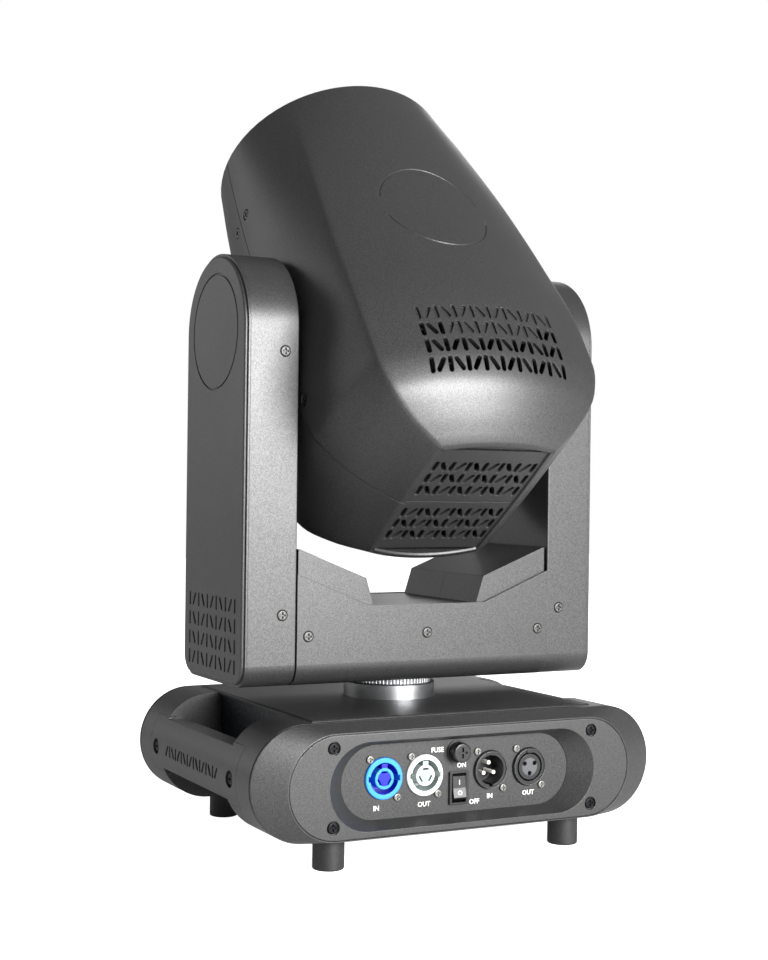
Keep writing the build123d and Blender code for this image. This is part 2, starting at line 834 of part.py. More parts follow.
# ---------------------------------------------------------------- display side
rear = facing_out(1, panel_front)


def button_places():
    return [button_first_x + button_pitch * step for step in range(len(button_names))]


def display_panel():
    """Panel of the rear bezel with the display opening and the four key holes."""
    with BuildPart() as panel:
        with BuildSketch(rear):
            draw_stadium(
                recess_floor_half_width + bowl_wall,
                recess_floor_height + 2 * bowl_wall,
                recess_mid,
            )
            with Locations((window_x, recess_mid)):
                RectangleRounded(2 * window_half_width, 2 * window_half_height, 1.5, mode=Mode.SUBTRACT)
            for x in button_places():
                with Locations((x, recess_mid)):
                    Circle(button_radius + moving_gap, mode=Mode.SUBTRACT)
        extrude(amount=-panel_thickness)
    save(panel.part, "display_panel")


def display_window():
    with BuildPart() as window:
        with BuildSketch(rear.offset(-0.3)):
            with Locations((window_x, recess_mid)):
                half_width = window_half_width - fit_gap
                half_height = window_half_height - fit_gap
                RectangleRounded(2 * half_width, 2 * half_height, 1.3)
        extrude(amount=-panel_thickness)
        with BuildSketch(rear.offset(-panel_thickness - fit_gap)):
            with Locations((window_x, recess_mid)):
                Rectangle(2 * window_half_width + 8, 2 * window_half_height + 6)
        extrude(amount=-3.0)
    save(window.part, "display_window")


def menu_button(x, name):
    with BuildPart() as button:
        with BuildSketch(rear.offset(button_proud)):
            with Locations((x, recess_mid)):
                Circle(button_radius)
        extrude(amount=-button_proud - panel_thickness - 1.0)
        face = button.faces().sort_by(Axis.Y)[-1]
        fillet(face.edges(), 0.7)
        with BuildSketch(rear.offset(-panel_thickness - moving_gap)):
            with Locations((x, recess_mid)):
                Circle(button_radius + 1.4)
        extrude(amount=-1.2)
    save(button.part, name)


# ---------------------------------------------------------------- inside the base
def power_supply():
    """Closed tray supply with rows of slots in its lid."""
    with BuildPart() as supply:
        with BuildSketch(Plane.XY.offset(sheet)):
            with Locations((supply_x, 0)):
                Rectangle(supply_width, supply_depth)
        extrude(amount=supply_height)
        chamfer(supply.edges().filter_by(Axis.Z), 1.0)
        with BuildSketch(Plane.XY.offset(sheet + supply_height)):
            with Locations((supply_x, 0)):
                with GridLocations(8, 24, 6, 3):
                    SlotOverall(18, 3, rotation=90)
        extrude(amount=-1.5, mode=Mode.SUBTRACT)
    save(supply.part, "power_supply")


def pan_pulley():
    """Turned ring on the top plate, the fixed toothed wheel above it and the hollow pan shaft."""
    with BuildPart() as pulley:
        with BuildSketch(Plane.XY.offset(plate_top)):
            Circle(ring_radius)
        extrude(amount=ring_top - plate_top)
        chamfer(pulley.faces().sort_by(Axis.Z)[-1].edges(), 0.8)
        with BuildSketch(Plane.XY.offset(ring_top)):
            draw_pulley(pan_tooth_radius, pan_tooth_depth, pan_teeth, cable_bore_radius)
        extrude(amount=pan_belt_low + belt_width + 1.0 - ring_top)
        with BuildSketch(Plane.XY.offset(pan_belt_low + belt_width + 1.0)):
            Circle(pan_shaft_radius)
        extrude(amount=pan_shaft_top - pan_belt_low - belt_width - 1.0)
        with BuildSketch(Plane.XY.offset(plate_top)):
            Circle(cable_bore_radius)
        extrude(amount=pan_shaft_top - plate_top, mode=Mode.SUBTRACT)
    save(pulley.part, "pan_pulley")


# ---------------------------------------------------------------- yoke bridge
frame_floor = pan_belt_low + belt_width + 4.0


def bridge_frame():
    """Sheet channel across the yoke. Its floor carries the pan bearing and the pan motor."""
    with BuildPart() as frame:
        with BuildSketch(facing_side(1, -arm_inner)):
            with Locations((0, frame_floor + frame_flange / 2)):
                Rectangle(2 * bridge_frame_half_depth, frame_flange)
            with Locations((0, frame_floor + frame_flange / 2 + bridge_sheet)):
                half_depth = bridge_frame_half_depth - bridge_sheet
                Rectangle(2 * half_depth, frame_flange, mode=Mode.SUBTRACT)
        extrude(amount=2 * arm_inner)
        with BuildSketch(Plane.XY.offset(frame_floor)):
            Circle(pan_bearing_radius)
            with Locations((pan_motor_x, 0)):
                Circle(pulley_radius + 1.5)
            with Locations((-pan_motor_x, 0)):
                RectangleRounded(30, 40, 4)
        extrude(amount=bridge_sheet, mode=Mode.SUBTRACT)
    save(frame.part, "bridge_frame")


def draw_bridge_profile(drop, side_gap, bottom):
    """Outline of the bridge from the front: shoulders that fall to a flat deck."""
    outer_x = bridge_half_width - side_gap
    step_x = shoulder_step_x + side_gap * 0.6
    deck_x = deck_half_width + side_gap
    half = (
        (outer_x, bottom),
        (outer_x, shoulder_high - drop),
        (step_x, shoulder_low - drop),
        (deck_x, bridge_deck - drop),
    )
    with BuildLine() as outline:
        Polyline(*half, *((-x, z) for x, z in reversed(half)), close=True)
    make_face(outline.edges())


def bridge_shell(side, name):
    """Half of the deck and shoulders, split at the middle of the yoke."""
    depth = bridge_half_depth - shoulder_setback - 0.8
    with BuildPart() as shell:
        with BuildSketch(facing_out(side, 0)):
            draw_bridge_profile(0.0, 0.0, shell_skirt)
        extrude(amount=depth)
        soft = shell.edges().filter_by(Axis.Y).group_by(Axis.Z)[-1]
        fillet(soft, 0.8)
        with BuildSketch(facing_out(side, 0)):
            draw_bridge_profile(skin + 0.4, skin, shell_skirt - 1)
        extrude(amount=depth - skin, mode=Mode.SUBTRACT)
    save(shell.part, name)


def bridge_cover(side, name):
    """Outer cover: the upright face, the rounded bottom edge and half of the underside."""
    with BuildPart() as cover:
        with BuildSketch(facing_side(1, -cover_half_width)):
            draw_cover_section(side, 0.0)
            draw_cover_section(side, bridge_cover_wall, Mode.SUBTRACT)
        extrude(amount=2 * cover_half_width)
        with BuildSketch(facing_out(side, 0)):
            with BuildLine() as outline:
                Polyline(
                    (-arm_inner, bridge_plate_shoulder),
                    (-bridge_plate_step_x, bridge_plate_top),
                    (bridge_plate_step_x, bridge_plate_top),
                    (arm_inner, bridge_plate_shoulder),
                    (arm_inner, tilt_height),
                    (-arm_inner, tilt_height),
                    close=True,
                )
            make_face(outline.edges())
        extrude(amount=bridge_half_depth, mode=Mode.SUBTRACT)
        with BuildSketch(Plane.XY.offset(yoke_bottom)):
            Circle(ring_radius + ring_hole_gap)
        extrude(amount=bridge_cover_wall, mode=Mode.SUBTRACT)
        with BuildSketch(facing_out(side, bridge_half_depth)):
            for x in (-bridge_screw_x, 0, bridge_screw_x):
                with Locations((x, bridge_screw_z)):
                    Circle(cover_screw_head + fit_gap)
        extrude(amount=-cover_screw_sink, mode=Mode.SUBTRACT)
        with BuildSketch(facing_out(side, bridge_half_depth)):
            for x in (-bridge_screw_x, 0, bridge_screw_x):
                with Locations((x, bridge_screw_z)):
                    Circle(case_screw_radius + fit_gap)
        extrude(amount=-bridge_cover_wall, mode=Mode.SUBTRACT)
    save(cover.part, name)


def draw_cover_section(side, inset, mode=Mode.ADD):
    """Section of a bridge cover: a corner block with its lower outer corner rounded."""
    radius = arm_corner - inset
    with BuildLine() as outline:
        y_out = side * (bridge_half_depth - inset)
        low = yoke_bottom + inset
        high = bridge_plate_shoulder + 5 + inset
        Polyline((0, low), (0, high), (y_out, high), (y_out, low + radius))
        middle = radius * (1 - sqrt(0.5))
        ThreePointArc(
            (y_out, low + radius),
            (y_out - side * middle, low + middle),
            (y_out - side * radius, low),
        )
        Line((y_out - side * radius, low), (0, low))
    make_face(outline.edges(), mode=mode)


def pan_bearing():
    with BuildPart() as bearing:
        with BuildSketch(Plane.XY.offset(frame_floor - 1.0)):
            Circle(pan_bearing_radius)
            Circle(pan_shaft_radius + running_gap, mode=Mode.SUBTRACT)
        extrude(amount=pan_bearing_width)
        with BuildSketch(Plane.XY.offset(frame_floor - 1.0 + pan_bearing_width)):
            Circle((pan_bearing_radius + pan_shaft_radius) / 2 + 1.5)
            Circle((pan_bearing_radius + pan_shaft_radius) / 2 - 1.5, mode=Mode.SUBTRACT)
        extrude(amount=-0.6, mode=Mode.SUBTRACT)
    save(bearing.part, "pan_bearing")


def motor(place, length, name):
    """Square stepper with cut corners; place is its mounting face, facing the pulley."""
    with BuildPart() as body:
        with BuildSketch(place) as outline:
            Rectangle(motor_size, motor_size)
            chamfer(outline.vertices(), 4.0)
        extrude(amount=-length)
        with BuildSketch(place):
            Circle(motor_shaft_radius + running_gap)
        extrude(amount=-length + 4.0, mode=Mode.SUBTRACT)
    save(body.part, name)


def motor_pulley(place, length, name):
    """Small toothed pulley and its shaft. place is the motor's mounting face."""
    with BuildPart() as pulley:
        with BuildSketch(place.offset(moving_gap)):
            draw_pulley(pulley_radius, pan_tooth_depth, pulley_teeth, 0.4)
            Circle(motor_shaft_radius)
        extrude(amount=belt_width + 1.2)
        with BuildSketch(place.offset(moving_gap)):
            Circle(motor_shaft_radius)
        extrude(amount=-length)
    save(pulley.part, name)


def belt(plane, centres, radii, name):
    with BuildPart() as loop:
        with BuildSketch(plane):
            draw_belt(centres, radii, moving_gap, belt_thickness)
        extrude(amount=belt_width)
    save(loop.part, name)


# ---------------------------------------------------------------- yoke arms
arm_split = arm_outer - cover_thickness


def draw_arm(inset):
    """Side view of an arm: round top on the tilt axis, straight sides, rounded bottom corners."""
    half = arm_half_depth - inset
    low = yoke_bottom + inset
    corner = arm_corner - inset
    with BuildLine() as outline:
        Line((-half, low + corner), (-half, tilt_height))
        ThreePointArc((-half, tilt_height), (0, tilt_height + half), (half, tilt_height))
        Line((half, tilt_height), (half, low + corner))
        RadiusArc((half, low + corner), (half - corner, low), corner)
        Line((half - corner, low), (-half + corner, low))
        RadiusArc((-half + corner, low), (-half, low + corner), corner)
    make_face(outline.edges())


def arm_shell(side, name):
    """Deep inner moulding of an arm, open outwards, with the boss for the tilt bearing."""
    with BuildPart() as shell:
        with BuildSketch(facing_side(side, arm_inner)):
            draw_arm(0.0)
        extrude(amount=arm_split - arm_inner)
        inner_face = shell.faces().sort_by(Axis.X)[0 if side > 0 else -1]
        fillet(inner_face.edges(), 0.8)
        with BuildSketch(facing_side(side, arm_inner + skin)):
            draw_arm(skin)
        extrude(amount=arm_split - arm_inner, mode=Mode.SUBTRACT)
        with BuildSketch(facing_side(side, arm_inner)):
            with Locations((0, tilt_height)):
                Circle(tilt_bearing_radius + skin)
        extrude(amount=tilt_bearing_width)
        with BuildSketch(facing_side(side, arm_inner)):
            with Locations((0, tilt_height)):
                Circle(tilt_bearing_radius)
        extrude(amount=tilt_bearing_width, mode=Mode.SUBTRACT)
        with BuildSketch(facing_side(side, arm_inner)):
            with Locations((0, frame_floor + 12)):
                SlotOverall(36, 14)
        extrude(amount=skin, mode=Mode.SUBTRACT)
        for facing in (-1, 1):
            with BuildSketch(facing_out(facing, arm_half_depth)):
                for height in cover_screw_heights:
                    with Locations((-facing * side * cover_screw_x, height)):
                        Circle(cover_screw_head + fit_gap)
            extrude(amount=-cover_screw_sink, mode=Mode.SUBTRACT)
            with BuildSketch(facing_out(facing, arm_half_depth)):
                for height in cover_screw_heights:
                    with Locations((-facing * side * cover_screw_x, height)):
                        Circle(case_screw_radius + fit_gap)
            extrude(amount=-skin, mode=Mode.SUBTRACT)
    save(shell.part, name)


def arm_cover(side, name):
    """Outer cover of an arm: a stepped plate with a ring mark and rows of blind slots."""
    step = cover_thickness * 0.4
    with BuildPart() as cover:
        with BuildSketch(facing_side(side, arm_split)):
            draw_arm(0.0)
        extrude(amount=step)
        with BuildSketch(facing_side(side, arm_split + step)):
            draw_arm(cover_margin)
        extrude(amount=cover_thickness - step)
        outer_face = cover.faces().sort_by(Axis.X)[-1 if side > 0 else 0]
        fillet(outer_face.edges(), 1.2)
        with BuildSketch(facing_side(side, arm_outer)):
            with Locations((0, tilt_height)):
                Circle(cover_ring_radius + 0.6)
                Circle(cover_ring_radius - 0.6, mode=Mode.SUBTRACT)
        extrude(amount=-engraving_depth, mode=Mode.SUBTRACT)
        rows = [arm_slot_lowest + arm_slot_row_pitch * row for row in range(4)]
        with BuildSketch(facing_side(side, arm_outer)):
            draw_slot_rows(arm_slot_columns, arm_slot_pitch, rows, arm_slot_height, (0, 2, 2, 0))
        extrude(amount=-engraving_depth, mode=Mode.SUBTRACT)
    save(cover.part, name)


def tilt_bearings():
    with BuildPart() as bearings:
        for side in (-1, 1):
            with BuildSketch(facing_side(side, arm_inner)):
                with Locations((0, tilt_height)):
                    Circle(tilt_bearing_radius)
                    Circle(trunnion_radius + running_gap, mode=Mode.SUBTRACT)
            extrude(amount=tilt_bearing_width)
    save(bearings.part, "tilt_bearings")


def yoke_screws():
    places = []
    for side in (-1, 1):
        bridge_face = facing_out(side, bridge_half_depth - cover_screw_sink)
        places += [spot(bridge_face, x, bridge_screw_z) for x in (-bridge_screw_x, 0, bridge_screw_x)]
        arm_face = facing_out(side, arm_half_depth - cover_screw_sink)
        for x in (-cover_screw_x, cover_screw_x):
            places += [spot(arm_face, x, height) for height in cover_screw_heights]
    save_screws(places, cover_screw_head, 1.6, case_screw_radius, 7.0, "yoke_screws")


# ---------------------------------------------------------------- head covers
def draw_head_section(corner_x, corner_top, top, side, corner_low, low, inset):
    """Four arcs between four corners; the plane's y points to the underside."""
    corner_x -= inset
    corner_top -= inset
    corner_low -= inset
    waist = (corner_low - corner_top) / 2
    points = (
        (-corner_x, -corner_top),
        (0, inset - top),
        (corner_x, -corner_top),
        (side - inset, waist),
        (corner_x, corner_low),
        (0, low - inset),
        (-corner_x, corner_low),
        (inset - side, waist),
    )
    with BuildLine() as outline:
        for number in range(0, 8, 2):
            ThreePointArc(points[number], points[number + 1], points[(number + 2) % 8])
    make_face(outline.edges())


def head_form(inset):
    """Solid of the head's outer form, drawn in by inset."""
    with BuildPart() as form:
        for w, *shape in head_sections:
            with BuildSketch(across(max(w, head_rear + inset))):
                draw_head_section(*shape, inset)
        loft(ruled=True)
    return form.part


def head_covers():
    """The whole skin, cut into a top and a bottom cover along the seam."""
    outer = head_form(0.0)
    with BuildPart() as skin_form:
        add(outer)
        add(head_form(skin), mode=Mode.SUBTRACT)
        with BuildSketch(across(head_front)):
            Circle(mouth_radius)
        extrude(amount=-front_ring_depth, mode=Mode.SUBTRACT)
        with BuildSketch(facing_side(1, -arm_inner)):
            with Locations((0, tilt_height)):
                Circle(trunnion_radius + moving_gap)
        extrude(amount=2 * arm_inner, mode=Mode.SUBTRACT)
        for place in head_screw_places():
            with BuildSketch(place):
                Circle(case_screw_head + fit_gap)
            extrude(amount=2 * skin, mode=Mode.SUBTRACT)
            with BuildSketch(place):
                Circle(case_screw_radius + fit_gap)
            extrude(amount=-2 * skin, mode=Mode.SUBTRACT)
    top_point = Vector(head_point(0, head_front - head_rear, seam_rise))
    seam_normal = top_point - Vector(head_point(0, 0, 0))
    seam = Plane(origin=head_point(0, 0, head_front), x_dir=(1, 0, 0), z_dir=seam_normal)
    for name, keep in (("head_cover_top", Keep.TOP), ("head_cover_bottom", Keep.BOTTOM)):
        with BuildPart() as cover:
            add(skin_form.part)
            split(bisect_by=seam, keep=keep)
        save(cover.part, name)


# ---------------------------------------------------------------- head front and inside
mouth_radius = head_sections[0][3] - skin
lens_rim = head_front - front_ring_depth + front_ring_floor
cage_front = head_sections[1][0]


def front_ring():
    """Ring in the head's mouth that holds the front lens against its ledge."""
    with BuildPart() as ring:
        with BuildSketch(across(head_front - front_ring_depth)):
            Circle(mouth_radius - fit_gap)
            Circle(lens_radius - front_ring_ledge, mode=Mode.SUBTRACT)
        extrude(amount=front_ring_depth + front_ring_proud)
        lip = ring.faces().sort_by(Axis(head_plane.origin, head_plane.z_dir))[-1]
        chamfer(lip.outer_wire().edges(), 1.0)
        with BuildSketch(across(lens_rim)):
            Circle(lens_radius + fit_gap)
        extrude(amount=front_ring_depth, mode=Mode.SUBTRACT)
    save(ring.part, "front_ring")


def front_lens():
    """Plano-convex lens, flat side inwards, with a cylindrical rim."""
    crown_radius = (lens_radius**2 + lens_crown**2) / (2 * lens_crown)
    crown_centre = across(lens_rim + lens_edge + lens_crown - crown_radius)
    with BuildPart() as lens:
        with BuildSketch(across(lens_rim)):
            Circle(lens_radius)
        extrude(amount=lens_edge + lens_crown)
        with Locations(crown_centre.location):
            Sphere(crown_radius, mode=Mode.INTERSECT)
    save(lens.part, "front_lens")


def draw_cross_plate(window):
    Rectangle(2 * cage_half_width, 2 * cage_half_height)
    Circle(window, mode=Mode.SUBTRACT)


def head_chassis():
    """Sheet cage: a bulkhead that fits the covers, side and cross plates, rods and trunnions."""
    with BuildPart() as cage:
        with BuildSketch(across(cage_rear)):
            for side in (-1, 1):
                with Locations((side * (cage_half_width - sheet / 2), 0)):
                    Rectangle(sheet, 2 * cage_half_height)
        extrude(amount=cage_front - cage_rear)
        with BuildSketch(across(cage_front)):
            draw_head_section(*head_sections[1][1:], skin + fit_gap)
            Circle(cage_window, mode=Mode.SUBTRACT)
        extrude(amount=-sheet)
        with BuildSketch(across(cage_mid)):
            draw_cross_plate(light_window)
        extrude(amount=sheet)
        with BuildSketch(across(wheel_plate)):
            draw_cross_plate(light_window)
            for end in (-1, 1):
                with Locations((0, end * wheel_offset)):
                    Circle(wheel_axle_radius + running_gap, mode=Mode.SUBTRACT)
        extrude(amount=sheet)
        with BuildSketch(across(cage_mid)):
            for side in (-1, 1):
                with Locations((side * rod_x, 0)):
                    Circle(rod_radius)
        extrude(amount=cage_front - cage_mid)
        for side in (-1, 1):
            with BuildSketch(facing_side(side, cage_half_width - sheet)):
                with Locations((0, tilt_height)):
                    Circle(trunnion_radius)
                    Circle(trunnion_bore_radius, mode=Mode.SUBTRACT)
            extrude(amount=trunnion_end - cage_half_width + sheet)
    save(cage.part, "head_chassis")


def tilt_pulley():
    """Toothed wheel on the left trunnion."""
    with BuildPart() as pulley:
        with BuildSketch(facing_side(-1, tilt_belt_x - belt_width / 2 - 0.6)):
            with Locations((0, tilt_height)):
                draw_pulley(tilt_pulley_radius, pan_tooth_depth, tilt_pulley_teeth, trunnion_radius)
        extrude(amount=belt_width + 1.2)
    save(pulley.part, "tilt_pulley")


def light_engine():
    """Lamp block with a reflector cone in front and upright cooling fins behind."""
    with BuildPart() as engine:
        with BuildSketch(across(fin_rear)):
            with GridLocations(fin_pitch, 0, fin_count, 1):
                Rectangle(fin_thickness, 2 * fin_half_height)
        extrude(amount=fin_depth)
        with BuildSketch(across(fin_rear + fin_depth)):
            Rectangle(2 * (cage_half_width - sheet), 2 * fin_half_height)
        extrude(amount=sink_thickness)
        with BuildSketch(across(fin_rear + fin_depth + sink_thickness)):
            Circle(reflector_radius)
        with BuildSketch(across(reflector_front)):
            Circle(reflector_mouth + reflector_wall)
        loft()
        with BuildSketch(across(reflector_front)):
            Circle(reflector_mouth)
        extrude(amount=-reflector_depth, mode=Mode.SUBTRACT)
    save(engine.part, "light_engine")


def fan_housing():
    with BuildPart() as housing:
        with BuildSketch(across(fan_rear)):
            RectangleRounded(2 * fan_radius + 6, 2 * fan_radius + 6, 4)
            Circle(fan_radius + 0.8, mode=Mode.SUBTRACT)
        extrude(amount=fan_depth)
        with BuildSketch(across(fan_rear + fan_depth - 1.6)):
            for turn in (45, 135):
                Rectangle(2 * fan_radius + 4, 4, rotation=turn)
            Circle(14)
            Circle(2.0 + running_gap, mode=Mode.SUBTRACT)
        extrude(amount=1.6)
    save(housing.part, "fan_housing")


def fan_blade_root(turn):
    """Plane across a blade's root, facing outwards, its x along the pitched chord."""
    middle = across(fan_rear + fan_depth / 2 - 1.0)
    outward = middle.x_dir * cos(turn) + middle.y_dir * sin(turn)
    sideways = middle.y_dir * cos(turn) - middle.x_dir * sin(turn)
    pitch = radians(fan_blade_pitch)
    chord = sideways * cos(pitch) + middle.z_dir * sin(pitch)
    return Plane(origin=middle.origin + outward * (fan_hub_radius - 1.0), x_dir=chord, z_dir=outward)


def fan_rotor():
    """Hub with seven pitched blades and a short axle."""
    with BuildPart() as rotor:
        with BuildSketch(across(fan_rear + 1.0)):
            Circle(fan_hub_radius)
        extrude(amount=fan_depth - 4.0)
        with BuildSketch(across(fan_rear + 1.0)):
            Circle(2.0)
        extrude(amount=fan_depth - 1.2)
        for number in range(fan_blades):
            with BuildSketch(fan_blade_root(number * 2 * pi / fan_blades)):
                Rectangle(fan_blade_chord, fan_blade_thickness)
            extrude(amount=fan_radius - fan_hub_radius - fan_tip_gap)
    save(rotor.part, "fan_rotor")


def filter_wheel(w, centre, name):
    """Disc with a ring of seven round windows, on its own axle."""
    with BuildPart() as wheel:
        with BuildSketch(across(w)):
            with Locations((0, centre)):
                Circle(wheel_radius)
                with PolarLocations(wheel_window_circle, 7, start_angle=90):
                    Circle(7.5, mode=Mode.SUBTRACT)
        extrude(amount=1.6)
        with BuildSketch(across(wheel_plate - 3.0)):
            with Locations((0, centre)):
                Circle(wheel_axle_radius)
        extrude(amount=sheet + 6.0)
    save(wheel.part, name)


def focus_carriage():
    """Plate on the two rods with the focus lens tube."""
    with BuildPart() as carriage:
        with BuildSketch(across(focus_rear)):
            RectangleRounded(2 * rod_x + 14, 2 * (focus_lens_radius + 6), 5)
            Circle(focus_lens_radius, mode=Mode.SUBTRACT)
            for side in (-1, 1):
                with Locations((side * rod_x, 0)):
                    Circle(rod_radius + running_gap, mode=Mode.SUBTRACT)
        extrude(amount=6.0)
        with BuildSketch(across(focus_rear)):
            Circle(focus_lens_radius + 2)
            Circle(focus_lens_radius, mode=Mode.SUBTRACT)
        extrude(amount=16.0)
        with BuildSketch(across(focus_rear + 5)):
            Circle(focus_lens_radius)
        extrude(amount=5.0)
    save(carriage.part, "focus_carriage")


def head_screw_places():
    """Planes under the heads of the cover screws, in pairs either side of the seam."""
    places = []
    for w, reach in head_screw_stations:
        seam_v = seam_rise * (head_front - w) / (head_front - head_rear)
        for side in (-1, 1):
            for rise in (-head_screw_offset, head_screw_offset):
                places.append(beside_head(side * reach, seam_v + rise, w, side))
    return places


def head_screws():
    save_screws(head_screw_places(), case_screw_head, 1.6, case_screw_radius, 6.0, "head_screws")


# ---------------------------------------------------------------- build
base_chassis()
base_top_plate()
for side, end in ((-1, "front"), (1, "rear")):
    end_frame(side, f"{end}_end_frame")
    end_cap(side, f"{end}_end_cap")
    bezel(side, f"{end}_bezel")
    bridge_shell(side, f"bridge_shell_{end}")
    bridge_cover(side, f"bridge_cover_{end}")
for side, end in ((-1, "left"), (1, "right")):
    side_handle(side, f"side_handle_{end}")
    arm_shell(side, f"arm_shell_{end}")
    arm_cover(side, f"arm_cover_{end}")
rubber_feet()
connector_panel()
power_socket(power_in_x, "power_in_socket")
power_socket(power_out_x, "power_out_socket")
data_in_socket()
data_out_socket()
fuse_holder()
fuse_cap()
switch_frame()
power_rocker()
display_panel()
display_window()
for x, name in zip(button_places(), button_names):
    menu_button(x, name)
power_supply()
pan_pulley()
base_screws()
bridge_frame()
pan_bearing()
pan_motor_face = Plane(origin=(pan_motor_x, 0, frame_floor), x_dir=(1, 0, 0), z_dir=(0, 0, -1))
motor(pan_motor_face.offset(-bridge_sheet), pan_motor_length, "pan_motor")
motor_pulley(pan_motor_face.offset(pan_pulley_drop), pan_pulley_shaft, "pan_motor_pulley")
belt(Plane.XY.offset(pan_belt_low), (0, pan_motor_x), (pan_tooth_radius, pulley_radius), "pan_belt")
tilt_bearings()
tilt_motor_face = Plane(
    origin=(-tilt_belt_x - belt_width / 2 - 1.0, 0, tilt_height - tilt_motor_drop),
    x_dir=(0, 1, 0),
    z_dir=(1, 0, 0),
)
tilt_motor_length = arm_split - tilt_belt_x - belt_width / 2 - 1.0  # its back rests on the cover
motor(tilt_motor_face, tilt_motor_length, "tilt_motor")
motor_pulley(tilt_motor_face, tilt_pulley_shaft, "tilt_motor_pulley")
tilt_belt_plane = Plane(
    origin=(-tilt_belt_x - belt_width / 2, 0, tilt_height),
    x_dir=(0, 0, -1),
    z_dir=(1, 0, 0),
)
belt(tilt_belt_plane, (0, tilt_motor_drop), (tilt_pulley_radius, pulley_radius), "tilt_belt")
yoke_screws()
head_covers()
head_screws()
front_ring()
front_lens()
head_chassis()
tilt_pulley()
light_engine()
fan_housing()
fan_rotor()
filter_wheel(wheel_plate - 3.0, -wheel_offset, "colour_wheel")
filter_wheel(wheel_plate + sheet + 1.4, wheel_offset, "gobo_wheel")
focus_carriage()
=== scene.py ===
import json
import math
import bpy
from mathutils import Matrix, Vector


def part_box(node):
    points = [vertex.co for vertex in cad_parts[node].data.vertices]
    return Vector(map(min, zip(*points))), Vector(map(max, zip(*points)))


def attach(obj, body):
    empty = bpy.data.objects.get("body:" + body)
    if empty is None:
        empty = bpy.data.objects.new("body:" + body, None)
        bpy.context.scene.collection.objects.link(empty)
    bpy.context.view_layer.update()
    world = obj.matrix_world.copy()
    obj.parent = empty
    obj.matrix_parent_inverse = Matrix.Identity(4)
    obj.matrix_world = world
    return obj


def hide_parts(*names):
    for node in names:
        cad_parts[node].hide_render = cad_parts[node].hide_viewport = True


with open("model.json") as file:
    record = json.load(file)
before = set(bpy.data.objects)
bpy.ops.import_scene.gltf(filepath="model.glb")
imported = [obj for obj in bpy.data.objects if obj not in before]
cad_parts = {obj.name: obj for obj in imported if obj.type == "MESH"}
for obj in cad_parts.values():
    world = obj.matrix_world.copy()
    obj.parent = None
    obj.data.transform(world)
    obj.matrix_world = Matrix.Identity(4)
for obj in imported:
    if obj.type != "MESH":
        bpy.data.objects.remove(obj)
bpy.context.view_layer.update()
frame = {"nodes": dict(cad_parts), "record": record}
mm = 0.001
print("frame loaded, nodes:", len(frame["nodes"]))


def hexColour(code, alpha=1.0):
    # sRGB hex to the linear values that the shader wants
    channels = [int(code[i:i + 2], 16) / 255 for i in (1, 3, 5)]
    linear = [c / 12.92 if c <= 0.04045 else ((c + 0.055) / 1.055) ** 2.4 for c in channels]
    return (*linear, alpha)


def addNode(nodes, kind, values=None, links=None, **settings):
    node = nodes.new(kind)
    for key, value in settings.items():
        setattr(node, key, value)
    for key, value in (values or {}).items():
        node.inputs[key].default_value = value
    for key, source in (links or {}).items():
        nodes.id_data.links.new(source, node.inputs[key])
    return node


def perMetre(millimetres):
    # a texture's scale from the real size of one grain or ripple
    return 1000.0 / millimetres


def startMaterial(name, colour, metallic, roughness, **more):
    material = bpy.data.materials.new(name)
    material.use_nodes = True
    nodes = material.node_tree.nodes
    nodes.clear()
    values = {"Base Color": hexColour(colour), "Metallic": metallic, "Roughness": roughness}
    values.update(more)
    shader = addNode(nodes, "ShaderNodeBsdfPrincipled", values)
    addNode(nodes, "ShaderNodeOutputMaterial", links={"Surface": shader.outputs["BSDF"]})
    return material, nodes, shader


def addGrain(nodes, shader, grain, depth, strength, detail=3.0, stretch=(1, 1, 1), rounding=0.6):
    # fine relief of the surface and a small round on its edges, all in millimetres
    place = addNode(nodes, "ShaderNodeTexCoord")
    mapping = addNode(nodes, "ShaderNodeMapping", {"Scale": stretch}, {"Vector": place.outputs["Object"]})
    noise = addNode(nodes, "ShaderNodeTexNoise", {"Scale": perMetre(grain), "Detail": detail},
                    {"Vector": mapping.outputs[0]})
    edges = addNode(nodes, "ShaderNodeBevel", {"Radius": rounding * mm}, samples=4)
    bump = addNode(nodes, "ShaderNodeBump", {"Strength": strength, "Distance": depth * mm},
                   {"Height": noise.outputs["Fac"], "Normal": edges.outputs["Normal"]})
    nodes.id_data.links.new(bump.outputs["Normal"], shader.inputs["Normal"])
    return place, noise


def varyRoughness(nodes, shader, place, patch, low, high):
    # slow change of gloss, as handling and the moulding leave it
    cloud = addNode(nodes, "ShaderNodeTexNoise", {"Scale": perMetre(patch), "Detail": 4.0},
                    {"Vector": place.outputs["Object"]})
    spread = addNode(nodes, "ShaderNodeMapRange", {"To Min": low, "To Max": high},
                     {"Value": cloud.outputs["Fac"]})
    nodes.id_data.links.new(spread.outputs["Result"], shader.inputs["Roughness"])


def speckle(nodes, shader, source, dark, light, low=0.35, high=0.65):
    ramp = addNode(nodes, "ShaderNodeValToRGB", links={"Fac": source})
    ramp.color_ramp.elements[0].position = low
    ramp.color_ramp.elements[0].color = hexColour(dark)
    ramp.color_ramp.elements[1].position = high
    ramp.color_ramp.elements[1].color = hexColour(light)
    nodes.id_data.links.new(ramp.outputs["Color"], shader.inputs["Base Color"])


